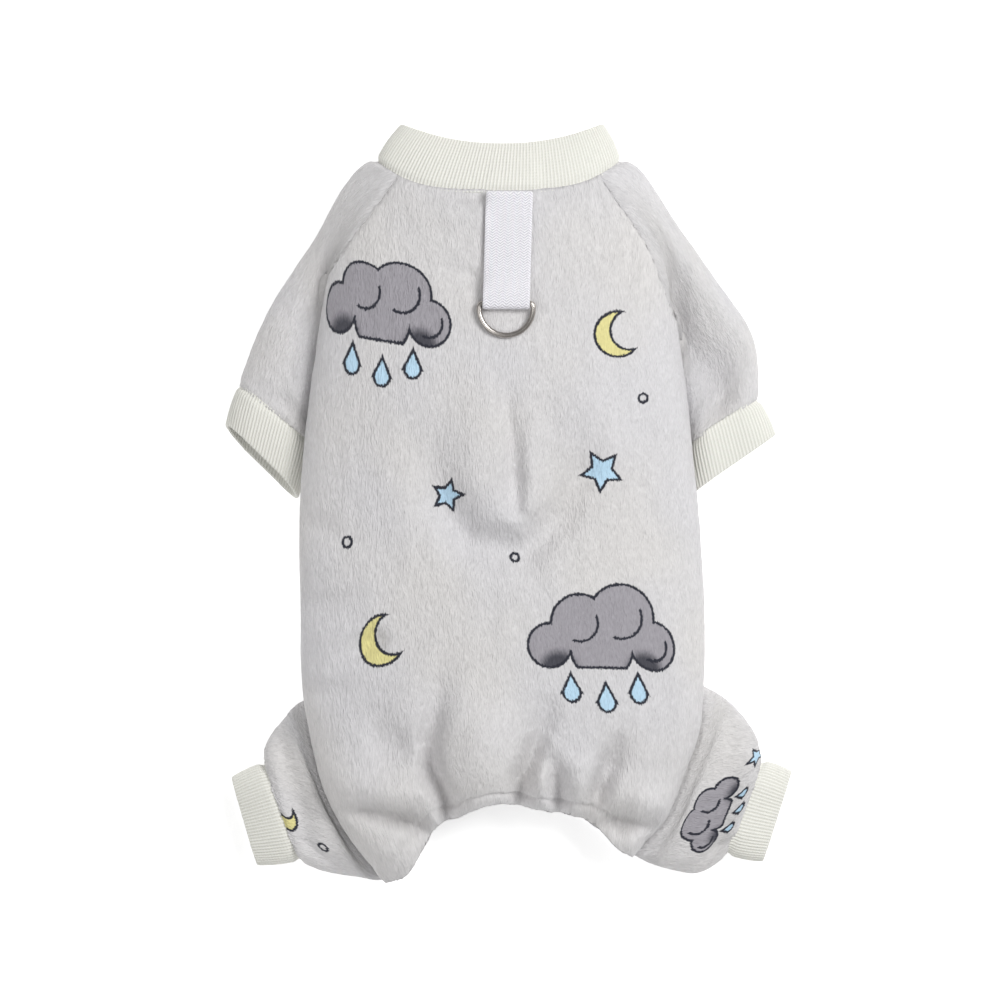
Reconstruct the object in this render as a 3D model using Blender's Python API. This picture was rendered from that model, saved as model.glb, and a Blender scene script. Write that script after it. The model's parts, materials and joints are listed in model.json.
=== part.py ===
"""Plush jumpsuit for a small dog, lying on its belly with its back up.

A back panel and a belly panel make the body; two raglan sleeves and two hind legs are sewn to
it; the collar and the four cuffs are rib knit; a webbing tab on the back holds a D-ring, which
swings on its straight bar. +X is the right-hand edge as it lies, +Y points to the collar and +Z
is up. The origin is on the surface that it lies on, below the middle of the garment.
"""

import math
from collections import namedtuple

import bpy
import numpy as np

MM = 0.001

# Cloth thicknesses and the groove left at every seam
PLUSH_WALL = 3.0 * MM
RIB_WALL = 2.0 * MM
WEBBING_WALL = 1.2 * MM
SEAM_GAP = 0.6 * MM

# Body: its two edges run from the collar's corners to the lobes behind the hind legs
LEFT_EDGE = 311 * MM
RIGHT_EDGE = 300 * MM
BODY_HALF_WIDTH = 90 * MM
BODY_HEIGHT = 56 * MM
NECK_DIP = 14 * MM
HEM_RISE = 30 * MM
BELLY_SINK = 4 * MM
BACK_ROUNDNESS = 2.2
UNDERSIDE_ROUNDNESS = 2.4

# Where the sleeves and the legs are let into the body, as stations from 0 at the neck to 1
ARMPIT = 0.18
GROIN = 0.74
GROIN_ROUNDING = 0.10
BELLY_END = 0.90
RAGLAN_ANGLE = math.radians(37)
SIDE_SEAM_ANGLE = math.radians(-25)
LEG_TOP_ANGLE = math.radians(-7)
LEG_UNDER_ANGLE = math.radians(-62)

# Body sections. station: share of the way from the neck to the hem. left_along, right_along:
# share of LEFT_EDGE and RIGHT_EDGE. left_out, right_out: share of BODY_HALF_WIDTH. top, side:
# height of the back and of the widest line, share of BODY_HEIGHT.
BODY_SECTIONS = (
    # station, left_along, left_out, right_along, right_out, top, side
    (0.00, 0.000, 0.633, 0.000, 0.542, 0.79, 0.39),
    (0.09, 0.078, 0.800, 0.115, 0.765, 0.88, 0.44),
    (0.18, 0.156, 0.862, 0.231, 0.806, 0.95, 0.47),
    (0.30, 0.300, 0.936, 0.340, 0.858, 1.00, 0.48),
    (0.42, 0.420, 0.982, 0.450, 0.893, 0.98, 0.48),
    (0.52, 0.520, 1.000, 0.540, 0.920, 0.96, 0.48),
    (0.64, 0.640, 0.991, 0.650, 0.940, 0.96, 0.48),
    (0.75, 0.752, 0.974, 0.755, 0.938, 0.95, 0.48),
    (0.82, 0.822, 0.928, 0.825, 0.915, 0.93, 0.48),
    (0.88, 0.882, 0.867, 0.885, 0.842, 0.89, 0.47),
    (0.94, 0.942, 0.752, 0.945, 0.759, 0.80, 0.43),
    (1.00, 1.000, 0.590, 1.000, 0.604, 0.60, 0.33),
)

# Line of the gathered hem across the back: place from -1 at the left lobe to 1 at the right
# one, and how far it is drawn up towards the collar, as a share of HEM_RISE.
HEM_LINE = (
    # across, rise
    (-1.00, 0.00),
    (-0.80, 0.13),
    (-0.59, 0.72),
    (-0.40, 0.87),
    (-0.08, 1.00),
    (0.24, 0.84),
    (0.51, 0.70),
    (0.70, 0.52),
    (0.88, 0.15),
    (1.00, 0.00),
)

# Folds, dents and puffs of the back, each along a straight line. station, across: as above.
# width: share of BODY_HALF_WIDTH. height: share of BODY_HEIGHT, below 0 for a valley.
BACK_FOLDS = (
    # station, across, to_station, to_across, width, height
    (0.27, 0.19, 0.36, 0.07, 0.060, -0.035),
    (0.36, 0.07, 0.46, 0.11, 0.050, -0.060),
    (0.33, 0.26, 0.44, 0.22, 0.090, 0.040),
    (0.42, -0.04, 0.53, 0.09, 0.110, 0.045),
    (0.46, -0.38, 0.55, -0.02, 0.100, -0.055),
    (0.55, -0.02, 0.55, 0.26, 0.090, -0.065),
    (0.55, 0.26, 0.44, 0.46, 0.090, -0.055),
    (0.47, -0.95, 0.55, -0.65, 0.160, -0.045),
    (0.60, -0.98, 0.62, -0.82, 0.080, -0.040),
    (0.66, -0.80, 0.73, -0.95, 0.080, -0.040),
    (0.78, -0.02, 0.79, 0.02, 0.110, -0.025),
    (0.70, -0.31, 0.83, -0.30, 0.090, -0.055),
    (0.83, -0.30, 0.90, -0.41, 0.085, -0.090),
    (0.90, -0.41, 0.99, -0.43, 0.075, -0.150),
    (0.87, -0.14, 0.97, -0.14, 0.210, 0.100),
    (0.86, 0.24, 0.92, 0.13, 0.070, -0.090),
    (0.92, 0.13, 0.99, 0.14, 0.060, -0.110),
    (0.95, 0.26, 0.98, 0.28, 0.090, 0.050),
    (0.93, 0.44, 0.98, 0.48, 0.110, 0.060),
    (0.92, 0.64, 0.99, 0.55, 0.070, -0.130),
    (0.88, -0.85, 0.92, -0.55, 0.080, 0.040),
    (0.91, -0.90, 0.94, -0.72, 0.050, -0.080),
    (0.94, -0.72, 0.99, -0.60, 0.060, -0.110),
    (0.99, 0.70, 0.96, 0.95, 0.060, -0.090),
)

# Rows and columns of the meshes
RAGLAN_ROWS = 7
BODY_ROWS = 10
GROIN_ROWS = 4
REAR_ROWS = 10
BACK_COLUMNS = 24
BELLY_COLUMNS = 8
END_COLUMNS = 6
LIMB_ROWS = 6
TAB_COLUMNS = 4

# A line across a flattened limb, seen from above. out: from the middle line of the garment to
# the line's middle. down: from the neck seam towards the hem. turn: slope towards the body.
Line = namedtuple("Line", "out down width turn")

# side: -1 left, 1 right. seam: where the cuff is sewn on. opening: the cuff's free edge.
# lip: how much further the underside of the cuff reaches than its upper side.
Limb = namedtuple("Limb", "side seam opening lip")

SLEEVE_HEIGHT = 24 * MM
LEG_HEIGHT = 24 * MM
FRONT_CUFF_HEIGHT = 20 * MM
HIND_CUFF_HEIGHT = 17 * MM
LIMB_ROUNDNESS = 2.3
LIMB_SINK = 1.0 * MM
SLEEVE_ROOT_SHARE = 0.35
LEG_ROOT_SHARE = 0.5
SHOULDER = 9 * MM
SEAM_FOLLOWS = 0.7
SEAM_LEAVES = -0.3
SLEEVES = {
    "left": Limb(
        -1,
        Line(101.1 * MM, 94.8 * MM, 39.6 * MM, 37.7),
        Line(106.7 * MM, 116.0 * MM, 44.7 * MM, 44.3),
        4.0 * MM,
    ),
    "right": Limb(
        1,
        Line(93.0 * MM, 98.7 * MM, 37.0 * MM, 32.3),
        Line(97.9 * MM, 117.0 * MM, 44.7 * MM, 34.5),
        0.0 * MM,
    ),
}
LEGS = {
    "left": Limb(
        -1,
        Line(98.1 * MM, 267.5 * MM, 45.5 * MM, 69.3),
        Line(114.6 * MM, 271.8 * MM, 39.9 * MM, 73.7),
        0.0 * MM,
    ),
    "right": Limb(
        1,
        Line(102.6 * MM, 265.7 * MM, 43.7 * MM, 69.2),
        Line(117.0 * MM, 269.7 * MM, 41.3 * MM, 72.4),
        0.0 * MM,
    ),
}

# How far a limb's two edges bulge past the straight line from the body to the cuff, as a share
# of that line. far: the edge away from the armpit or groin. near: the edge that starts there.
LIMB_BULGES = {
    # along, far, near
    "sleeve_left": (
        (0.00, 0.000, 0.000),
        (0.16, 0.060, -0.102),
        (0.34, 0.045, -0.050),
        (0.70, 0.054, -0.030),
        (1.00, 0.000, 0.000),
    ),
    "sleeve_right": (
        (0.00, 0.000, 0.000),
        (0.16, 0.050, -0.074),
        (0.50, 0.098, -0.035),
        (0.80, 0.076, -0.025),
        (1.00, 0.000, 0.000),
    ),
    "hind_leg_left": (
        (0.00, 0.000, 0.000),
        (0.30, 0.060, 0.090),
        (0.60, 0.080, 0.130),
        (0.85, 0.050, 0.100),
        (1.00, 0.000, 0.000),
    ),
    "hind_leg_right": (
        (0.00, 0.000, 0.000),
        (0.25, 0.120, 0.090),
        (0.50, 0.180, 0.130),
        (0.80, 0.170, 0.100),
        (1.00, 0.000, 0.000),
    ),
}

# Collar and knitted ribs
COLLAR_DEPTH = 20.6 * MM
COLLAR_TOP_WIDTH = 87 * MM
COLLAR_TOP_HEIGHT = 38 * MM
COLLAR_TOP_DIP = 9.5 * MM
COLLAR_SHIFT = 2.5 * MM
RIB_PITCH = 3.2 * MM
RIB_DEPTH = 0.5 * MM

# Webbing tab and D-ring
TAB_WIDTH = 20 * MM
TAB_LENGTH = 51.6 * MM
TAB_START = 0.6 * MM
TAB_SLANT = 1.5 * MM
TAB_LIFT = 0.4 * MM
TAB_PLY_GAP = 0.4 * MM
TAB_TAPER = 12 * MM
RING_WIRE = 2.3 * MM
RING_WIDTH = 25.2 * MM
RING_DEPTH = 15.9 * MM
RING_CORNER = 1.6 * MM
RING_SIDE = 2.2 * MM
RING_CLEARANCE = 0.3 * MM


def through(table, column, at):
    """A smooth curve through one column of a table against its first column (cubic Hermite)."""
    rows = np.asarray(table, float)
    x, y = rows[:, 0], rows[:, column]
    slope = np.gradient(y, x)
    i = np.clip(np.searchsorted(x, at, side="right") - 1, 0, len(x) - 2)
    span = x[i + 1] - x[i]
    t = np.clip((at - x[i]) / span, 0, 1)
    return (
        (2 * t**3 - 3 * t**2 + 1) * y[i]
        + (t**3 - 2 * t**2 + t) * span * slope[i]
        + (3 * t**2 - 2 * t**3) * y[i + 1]
        + (t**3 - t**2) * span * slope[i + 1]
    )


def round_section(angle, roundness):
    """Unit superellipse at an angle from +X: (across, up). Roundness 2 is a circle."""
    c, s = np.cos(angle), np.sin(angle)
    reach = (np.abs(c) ** roundness + np.abs(s) ** roundness) ** (-1 / roundness)
    return reach * c, reach * s


def body_plan(station, across):
    """The place of a body point seen from above: across is -1 at the left edge, 1 at the right."""
    left = through(BODY_SECTIONS, 2, station) * BODY_HALF_WIDTH
    right = through(BODY_SECTIONS, 4, station) * BODY_HALF_WIDTH
    left_y = NECK_DIP - through(BODY_SECTIONS, 1, station) * LEFT_EDGE
    right_y = NECK_DIP - through(BODY_SECTIONS, 3, station) * RIGHT_EDGE
    x = (right - left) / 2 + (right + left) / 2 * across
    y = left_y + (right_y - left_y) * (1 + across) / 2
    y = y - NECK_DIP * (1 - np.abs(across) ** 3.4) * (1 - station) ** 4
    y = y + HEM_RISE * through(HEM_LINE, 1, across) * station**4
    return x, y


def fold_height(x, y):
    """Sum of the folds at a place seen from above: each is a soft ridge along its own line."""
    total = np.zeros(np.broadcast(x, y).shape)
    for station, across, to_station, to_across, width, height in BACK_FOLDS:
        ax, ay = body_plan(station, across)
        bx, by = body_plan(to_station, to_across)
        length = (bx - ax) ** 2 + (by - ay) ** 2
        t = np.clip(((x - ax) * (bx - ax) + (y - ay) * (by - ay)) / length, 0, 1)
        away = (x - ax - t * (bx - ax)) ** 2 + (y - ay - t * (by - ay)) ** 2
        total = total + height * BODY_HEIGHT * np.exp(-away / (width * BODY_HALF_WIDTH) ** 2)
    return total


def body(station, angle):
    """Outer surface of the body. angle: 0 at the right edge, 90 degrees on the back's middle
    line, 180 at the left edge and 270 below. The underside is flat where it lies."""
    station, angle = np.broadcast_arrays(station, angle)
    roundness = np.where(np.sin(angle) > 0, BACK_ROUNDNESS, UNDERSIDE_ROUNDNESS)
    across, up = round_section(angle, roundness)
    x, y = body_plan(station, across)
    top = through(BODY_SECTIONS, 5, station) * BODY_HEIGHT
    side = through(BODY_SECTIONS, 6, station) * BODY_HEIGHT
    above = side + (top - side) * up + fold_height(x, y) * np.clip(1.6 * up, 0, 1)
    below = side + (side + BELLY_SINK) * up
    z = np.where(up > 0, above, np.maximum(below, 0))
    return np.stack([x, y, z], axis=-1)


def body_normal(station, angle):
    """The way out of the body at a place on it, smoothed over a few millimetres."""
    station, angle = np.broadcast_arrays(station, angle)
    after, before = np.clip(station + 0.01, 0, 1), np.clip(station - 0.01, 0, 1)
    down = body(after, angle) - body(before, angle)
    around = body(station, angle + 0.03) - body(station, angle - 0.03)
    return unit(np.cross(around, down))


def opening_share(station):
    """0 where the side seam parts at the groin, 1 where the leg's opening has its full width."""
    t = np.clip((station - GROIN) / GROIN_ROUNDING, 0, 1)
    return np.sqrt(1 - (1 - t) ** 2)


def seam_angle(station, limb_angle):
    """Where a panel's right edge lies on the body: on the raglan seam, then down the side seam,
    then round the opening of the leg. limb_angle is the leg opening's full angle."""
    raglan = RAGLAN_ANGLE * np.sqrt(np.clip(1 - (station / ARMPIT) ** 2, 0, 1))
    side = SIDE_SEAM_ANGLE * np.clip((station - ARMPIT) / (GROIN - ARMPIT), 0, 1) ** 0.5
    return raglan, side + (limb_angle - SIDE_SEAM_ANGLE) * opening_share(station)


def back_edge(station):
    raglan, side = seam_angle(station, LEG_TOP_ANGLE)
    return np.where(station < ARMPIT, raglan, side)


def belly_edge(station):
    raglan, side = seam_angle(station, LEG_UNDER_ANGLE)
    return np.where(station < ARMPIT, -raglan, side)


def quarter(steps):
    """Shares that bunch up towards 1, as even steps round a quarter circle do."""
    return np.sin(np.linspace(0, math.pi / 2, steps + 1))


RAGLAN_STATIONS = ARMPIT * quarter(RAGLAN_ROWS)
SIDE_STATIONS = np.linspace(ARMPIT, GROIN, BODY_ROWS + 1)
GROIN_STATIONS = GROIN + GROIN_ROUNDING * (1 - quarter(GROIN_ROWS)[::-1])
REAR_STATIONS = np.linspace(GROIN + GROIN_ROUNDING, 1, REAR_ROWS + 1)
LEG_STATIONS = np.concatenate([GROIN_STATIONS[:-1], REAR_STATIONS])
BODY_STATIONS = np.concatenate([RAGLAN_STATIONS[:-1], SIDE_STATIONS[:-1], LEG_STATIONS])


def limb_section(x0, y0, x1, y1, angle, height):
    """A flattened tube's section in the upright plane from (x0, y0), at angle 0, to (x1, y1)."""
    across, up = round_section(angle, LIMB_ROUNDNESS)
    x = (x0 + x1) / 2 + (x0 - x1) / 2 * across
    y = (y0 + y1) / 2 + (y0 - y1) / 2 * across
    z = height / 2 + (height / 2 + LIMB_SINK) * up
    return np.stack([x, y, np.clip(z, 0, height)], axis=-1)


def line_ends(line, side):
    """Both ends of a line across a limb, seen from above: the outer one, then the inner one."""
    turn = math.radians(line.turn)
    dx = math.cos(turn) * line.width / 2
    dy = math.sin(turn) * line.width / 2
    outer = (side * (line.out + dx), -line.down + dy)
    inner = (side * (line.out - dx), -line.down - dy)
    return np.array(outer), np.array(inner)


def mirrored(angle, side):
    return angle if side > 0 else math.pi - angle


def root_of(kind, side):
    """The closed line on the body that a limb is sewn to, the way out of the body at each of
    its points, and an angle: 180 degrees at the armpit or groin, 90 above, 0 at the far end
    and -90 below."""
    if kind == "sleeve":
        stations, end = RAGLAN_STATIONS[::-1], 0.0
    else:
        stations, end = LEG_STATIONS, 1.0
    upper, lower = back_edge(stations), belly_edge(stations)
    across_end = np.linspace(upper[-1], lower[-1], END_COLUMNS + 1)[1:-1]
    station = np.concatenate([stations, np.full(END_COLUMNS - 1, end), stations[:0:-1]])
    place = mirrored(np.concatenate([upper, across_end, lower[:0:-1]]), side)
    line = body(station, place)
    ahead = np.linalg.norm(np.diff(line, axis=0), axis=1)
    way = np.concatenate([[0], np.cumsum(ahead)])
    first, last = way[len(stations) - 1], way[len(stations) + END_COLUMNS - 1]
    whole = way[-1] + np.linalg.norm(line[0] - line[-1])
    marks = [0, first, last, whole]
    return line, body_normal(station, place), np.interp(way, marks, np.radians([180, 30, -30, -180]))


def limb_points(kind, side_name, limb):
    """Outer surface of a sleeve or leg, from its seam on the body to its seam with the cuff,
    and the way out of the body along the first of these."""
    root, out, angle = root_of(kind, limb.side)
    outer, inner = line_ends(limb.seam, limb.side)
    far_end, near_end = (outer, inner) if kind == "sleeve" else (inner, outer)
    height = SLEEVE_HEIGHT if kind == "sleeve" else LEG_HEIGHT
    root_share = SLEEVE_ROOT_SHARE if kind == "sleeve" else LEG_ROOT_SHARE
    bulges = LIMB_BULGES[f"{kind}_{side_name}"]
    far_start = root[np.argmin(np.abs(angle))][:2]
    near_start = root[0][:2]
    across = (far_start - near_start) / np.linalg.norm(far_start - near_start)
    sideways = np.array([across[1], -across[0]]) * np.sign(across[1] * limb.side)
    rows = []
    for share in np.linspace(0, 1, LIMB_ROWS + 1):
        far = bulged(far_start, far_end, share, through(bulges, 1, share), near_end)
        near = bulged(near_start, near_end, share, through(bulges, 2, share), far_end)
        section = limb_section(*far, *near, angle, height)
        t = min(share / root_share, 1)
        carried = root.copy()
        if kind == "sleeve":
            carried[:, :2] += sideways * SHOULDER * t
        else:
            carried[:, :2] += (far + near) / 2 - (far_start + near_start) / 2
        weight = t * t * (3 - 2 * t)
        rows.append(carried * (1 - weight) + section * weight)
    rows = np.array(rows)
    if (kind == "sleeve") == (limb.side > 0):
        return rows[:, ::-1], out[::-1]
    return rows, out


def bulged(start, end, share, bulge, other_side):
    """A point on the line from start to end, moved away from other_side by a share of it."""
    along = end - start
    sideways = np.array([along[1], -along[0]])
    if np.dot(sideways, other_side - start) > 0:
        sideways = -sideways
    return start + along * share + sideways * bulge


def cuff_points(limb, start_height, end_height):
    """Outer surface of a cuff without its ribs, from its seam to its opening."""
    around = 2 * (limb.seam.width + start_height) * 0.86
    columns = 2 * int(around / RIB_PITCH)
    angle = np.linspace(0, 2 * math.pi, columns, endpoint=False)
    ends = []
    for line, height in ((limb.seam, start_height), (limb.opening, end_height)):
        outer, inner = line_ends(line, limb.side)
        ends.append(limb_section(*outer, *inner, angle, height))
    seam, opening = (evenly(line, columns) for line in ends)
    way = unit((opening - seam).mean(axis=0) * (1, 1, 0))
    share_below = (1 - opening[:, 2:] / end_height) - 0.5
    opening = opening + way * limb.lip * share_below
    rows = np.array([seam, opening])
    return rows[:, ::-1] if limb.side < 0 else rows


def evenly(line, count):
    """The same closed line with its points at even distances."""
    closed = np.concatenate([line, line[:1]])
    ahead = np.linalg.norm(np.diff(closed[:, :3], axis=0), axis=1)
    way = np.concatenate([[0], np.cumsum(ahead)])
    at = np.linspace(0, way[-1], count, endpoint=False)
    return np.stack([np.interp(at, way, column) for column in closed.T], axis=-1)


def ribbed(rows):
    """Lowers every other line of points along a tube, which leaves ribs between them."""
    around = np.roll(rows, -1, axis=1) - np.roll(rows, 1, axis=1)
    groove = np.arange(rows.shape[1]) % 2 * RIB_DEPTH
    return rows - unit(np.cross(around, np.gradient(rows, axis=0))) * groove[None, :, None]


def collar_points():
    """Outer surface of the collar without its ribs, from the neck seam to its folded edge, and
    the way out of the body along the seam."""
    fine = np.linspace(0, 2 * math.pi, 720, endpoint=False)
    seam = body(0.0, fine)
    across, up = round_section(fine, BACK_ROUNDNESS)
    x = across * COLLAR_TOP_WIDTH / 2 - COLLAR_SHIFT
    y = COLLAR_DEPTH + COLLAR_TOP_DIP * np.abs(across) ** 2.2
    z = COLLAR_TOP_HEIGHT / 2 * (1 + up)
    top = np.stack([x, y, z], axis=-1)
    around = np.linalg.norm(np.diff(seam, axis=0), axis=1).sum()
    columns = 2 * int(around / RIB_PITCH)
    seam_and_way = evenly(np.concatenate([seam, body_normal(0.0, fine)], axis=-1), columns)
    rows = np.array([seam_and_way[:, :3], evenly(top, columns)])
    return rows[:, ::-1], seam_and_way[::-1, 3:]


def apart(rows, closed):
    """Draws a piece's edges in by half a seam gap, towards the next points of the piece."""
    rows = rows.copy()
    sides = (0,) if closed else (0, 1)
    for axis in sides:
        turned = np.moveaxis(rows, axis, 0)
        for edge, beside in ((0, 1), (-1, -2)):
            inward = turned[beside] - turned[edge]
            inward = inward / np.linalg.norm(inward, axis=-1, keepdims=True)
            turned[edge] = turned[edge] + inward * SEAM_GAP / 2
    return rows


def material(name, colour, roughness, metallic=0.0):
    made = bpy.data.materials.new(name)
    made.use_nodes = True
    shader = made.node_tree.nodes["Principled BSDF"]
    shader.inputs["Base Color"].default_value = (*colour, 1)
    shader.inputs["Roughness"].default_value = roughness
    shader.inputs["Metallic"].default_value = metallic
    return made


def lined(faces, rows, columns, first, closed, outward):
    """Adds the quads of one face of a wall, whose points start at first."""
    for i in range(rows - 1):
        for j in range(columns if closed else columns - 1):
            here, beside = first + i * columns + j, first + i * columns + (j + 1) % columns
            quad = (here, beside, beside + columns, here + columns)
            faces.append(quad if outward else quad[::-1])


def cloth(name, outer, inner, finish, closed):
    """One sewn piece: a wall between two grids of points. closed: the columns go all round."""
    rows, columns = outer.shape[:2]
    whole = rows * columns
    faces = []
    lined(faces, rows, columns, 0, closed, True)
    lined(faces, rows, columns, whole, closed, False)
    last = (rows - 1) * columns
    for j in range(columns if closed else columns - 1):
        k = (j + 1) % columns
        faces.append((k, j, whole + j, whole + k))
        faces.append((last + j, last + k, whole + last + k, whole + last + j))
    for i in range(0 if closed else rows - 1):
        a, b = i * columns, (i + 1) * columns
        faces.append((a, b, whole + b, whole + a))
        a, b = a + columns - 1, b + columns - 1
        faces.append((b, a, whole + a, whole + b))
    mesh = bpy.data.meshes.new(name)
    mesh.from_pydata(np.concatenate([outer, inner]).reshape(-1, 3).tolist(), [], faces)
    mesh.materials.append(finish)
    mesh.shade_smooth()
    mesh.set_sharp_from_angle(angle=math.radians(50))
    piece = bpy.data.objects.new(name, mesh)
    bpy.context.scene.collection.objects.link(piece)
    return piece


def unit(vectors):
    return vectors / np.linalg.norm(vectors, axis=-1, keepdims=True)


def inside_tube(rows, wall, seam_out=None):
    """The inner face of a tube's wall, square to its outer face. Its last row stays in the
    row's own upright plane, so that the tube ends on a flat edge, and so does its first, unless
    that is sewn to the body: then it follows seam_out, the way out of the body, on an open
    seam, and its own face in a deep valley."""
    around = np.roll(rows, -1, axis=1) - np.roll(rows, 1, axis=1)
    along = np.gradient(rows, axis=0)
    for i in (0, -1) if seam_out is None else (-1,):
        spread = rows[i] - rows[i].mean(axis=0)
        square = np.cross(spread, np.roll(spread, -1, axis=0)).sum(axis=0)
        along[i] = square * np.sign(np.sum(square * along[i].mean(axis=0)))
    out = unit(np.cross(around, along))
    if seam_out is not None:
        alike = np.sum(out[0] * seam_out, axis=-1, keepdims=True)
        own = np.clip((SEAM_FOLLOWS - alike) / (SEAM_FOLLOWS - SEAM_LEAVES), 0, 1)
        out[0] = unit(seam_out * (1 - own) + out[0] * own)
    inner = rows - out * wall
    inner[..., 2] = np.maximum(inner[..., 2], wall)
    return inner


def inside_body(station, angle):
    """The body's inner face, a plush wall in from its outer one, square to its smoothed form."""
    inner = body(station, angle) - body_normal(station, angle) * PLUSH_WALL
    inner[..., 2] = np.maximum(inner[..., 2], PLUSH_WALL)
    return inner


def panel(name, stations, first_angle, last_angle, columns):
    """A panel of the body between two angles at each station."""
    share = np.linspace(0, 1, columns + 1)
    angle = first_angle[:, None] + (last_angle - first_angle)[:, None] * share
    outer = apart(body(stations[:, None], angle), closed=False)
    inner = apart(inside_body(stations[:, None], angle), closed=False)
    return cloth(name, outer, inner, plush, closed=False)


def tube(name, outer, plain, wall, finish, seam_out=None):
    """A tube of cloth. plain is its outer face without ribs, which its inner face follows."""
    inner = apart(inside_tube(plain, wall, seam_out), closed=True)
    return cloth(name, apart(outer, closed=True), inner, finish, closed=True)


def on_back(distance, x):
    """The place on the back at a distance from the neck seam and an x, as seen from above."""
    stations = np.linspace(0, 1, 401)
    down = -body_plan(stations, 0.0)[1]
    station = np.interp(distance, down, stations)
    right = body_plan(station, 1.0)[0]
    left = body_plan(station, -1.0)[0]
    across = (x - (right + left) / 2) / ((right - left) / 2)
    up = (1 - np.abs(across) ** BACK_ROUNDNESS) ** (1 / BACK_ROUNDNESS)
    return body(station, np.arctan2(up, across))


LOOP_RADIUS = RING_WIRE / 2 + RING_CLEARANCE + WEBBING_WALL / 2
LOWER_PLY = TAB_LIFT + WEBBING_WALL / 2
UPPER_PLY = LOWER_PLY + WEBBING_WALL + TAB_PLY_GAP
BAR_LIFT = LOWER_PLY + LOOP_RADIUS
BAR_DOWN = TAB_LENGTH - LOOP_RADIUS - WEBBING_WALL / 2


def tab_middle(distance):
    return TAB_START - TAB_SLANT * distance / TAB_LENGTH


def bar_base():
    """Height of the back under the bar: its highest place below the loop of webbing."""
    down = BAR_DOWN + np.linspace(-2, 2, 9)[:, None] * LOOP_RADIUS
    across = tab_middle(BAR_DOWN) + np.linspace(-0.5, 0.5, 9) * RING_WIDTH
    return on_back(down, across)[..., 2].max()


def under_tab(down, x):
    """What the webbing lies on: the back, and level with the bar where it turns round it."""
    place = on_back(down, x)
    t = np.clip((down - BAR_DOWN + LOOP_RADIUS + TAB_TAPER) / TAB_TAPER, 0, 1)
    level = t * t * (3 - 2 * t)
    place[..., 1] = -down
    place[..., 2] = place[..., 2] * (1 - level) + bar_base() * level
    return place


def tab_path():
    """The webbing's run, seen from the side: (distance from the neck seam, lift off the back).
    It goes down under the bar, round it, and back up over itself to the seam."""
    fold = (UPPER_PLY - LOWER_PLY) / 2
    start = SEAM_GAP + WEBBING_WALL / 2 + fold
    under = [(down, LOWER_PLY) for down in np.linspace(start, BAR_DOWN, 8)[:-1]]
    turn = np.radians(np.linspace(-90, 90, 9))
    loop = [
        (BAR_DOWN + LOOP_RADIUS * math.cos(a), BAR_LIFT + LOOP_RADIUS * math.sin(a)) for a in turn
    ]
    over = []
    for down in np.linspace(BAR_DOWN, start, 11)[1:]:
        t = min((BAR_DOWN - down) / TAB_TAPER, 1)
        rise = BAR_LIFT + LOOP_RADIUS - UPPER_PLY
        over.append((down, UPPER_PLY + rise * (1 - t * t * (3 - 2 * t))))
    bend = np.radians((135, 180, 225))
    end = [(start + fold * math.cos(a), LOWER_PLY + fold + fold * math.sin(a)) for a in bend]
    return np.array(under + loop + over + end)


def build_tab(finish):
    """The webbing as one closed band, which lies on the back and turns round the bar."""
    path = tab_path()
    ahead = np.roll(path, -1, axis=0) - np.roll(path, 1, axis=0)
    out = unit(np.stack([ahead[:, 1], -ahead[:, 0]], axis=-1))
    share = np.linspace(0.5, -0.5, TAB_COLUMNS + 1)[:, None]
    faces = []
    for half_wall in (WEBBING_WALL / 2, -WEBBING_WALL / 2):
        down, lift = (path + out * half_wall).T
        rows = under_tab(down[None, :], tab_middle(down) + share * TAB_WIDTH)
        rows[..., 2] += lift
        faces.append(rows)
    return cloth("leash_tab", *faces, finish, closed=True)


def ring_outline():
    """Middle line of the D-ring's wire: straight bar, tight corners, short sides and a bow."""
    half = (RING_WIDTH - RING_WIRE) / 2
    bow = RING_DEPTH - RING_WIRE - RING_SIDE
    corner = np.radians((-90, -60, -30, 0))
    right = np.stack([half - RING_CORNER + RING_CORNER * np.cos(corner),
                      RING_CORNER + RING_CORNER * np.sin(corner)], axis=-1)
    round_bow = np.linspace(0, math.pi, 19)
    middle = np.stack([half * np.cos(round_bow), RING_SIDE + bow * np.sin(round_bow)], axis=-1)
    left = right[::-1] * (-1, 1)
    return np.concatenate([right, middle, left])


def build_ring(finish):
    """The ring, its origin on the bar's axis, tipped so that its bow rests on the back."""
    bar = under_tab(BAR_DOWN, tab_middle(BAR_DOWN)) + (0, 0, BAR_LIFT)
    bow_down = BAR_DOWN + RING_DEPTH - RING_WIRE
    bow = on_back(bow_down, tab_middle(BAR_DOWN)) + (0, 0, RING_WIRE / 2 + RING_CLEARANCE)
    curve = bpy.data.curves.new("d_ring", "CURVE")
    curve.dimensions = "3D"
    curve.bevel_depth = RING_WIRE / 2
    curve.bevel_resolution = 2
    outline = ring_outline()
    wire = curve.splines.new("POLY")
    wire.points.add(len(outline) - 1)
    for point, (across, out) in zip(wire.points, outline):
        point.co = (across, -out, 0, 1)
    wire.use_cyclic_u = True
    curve.materials.append(finish)
    ring = bpy.data.objects.new("d_ring", curve)
    ring.location = bar
    ring.rotation_euler = (math.atan2(bar[2] - bow[2], bar[1] - bow[1]), 0, 0)
    bpy.context.scene.collection.objects.link(ring)
    return ring


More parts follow.
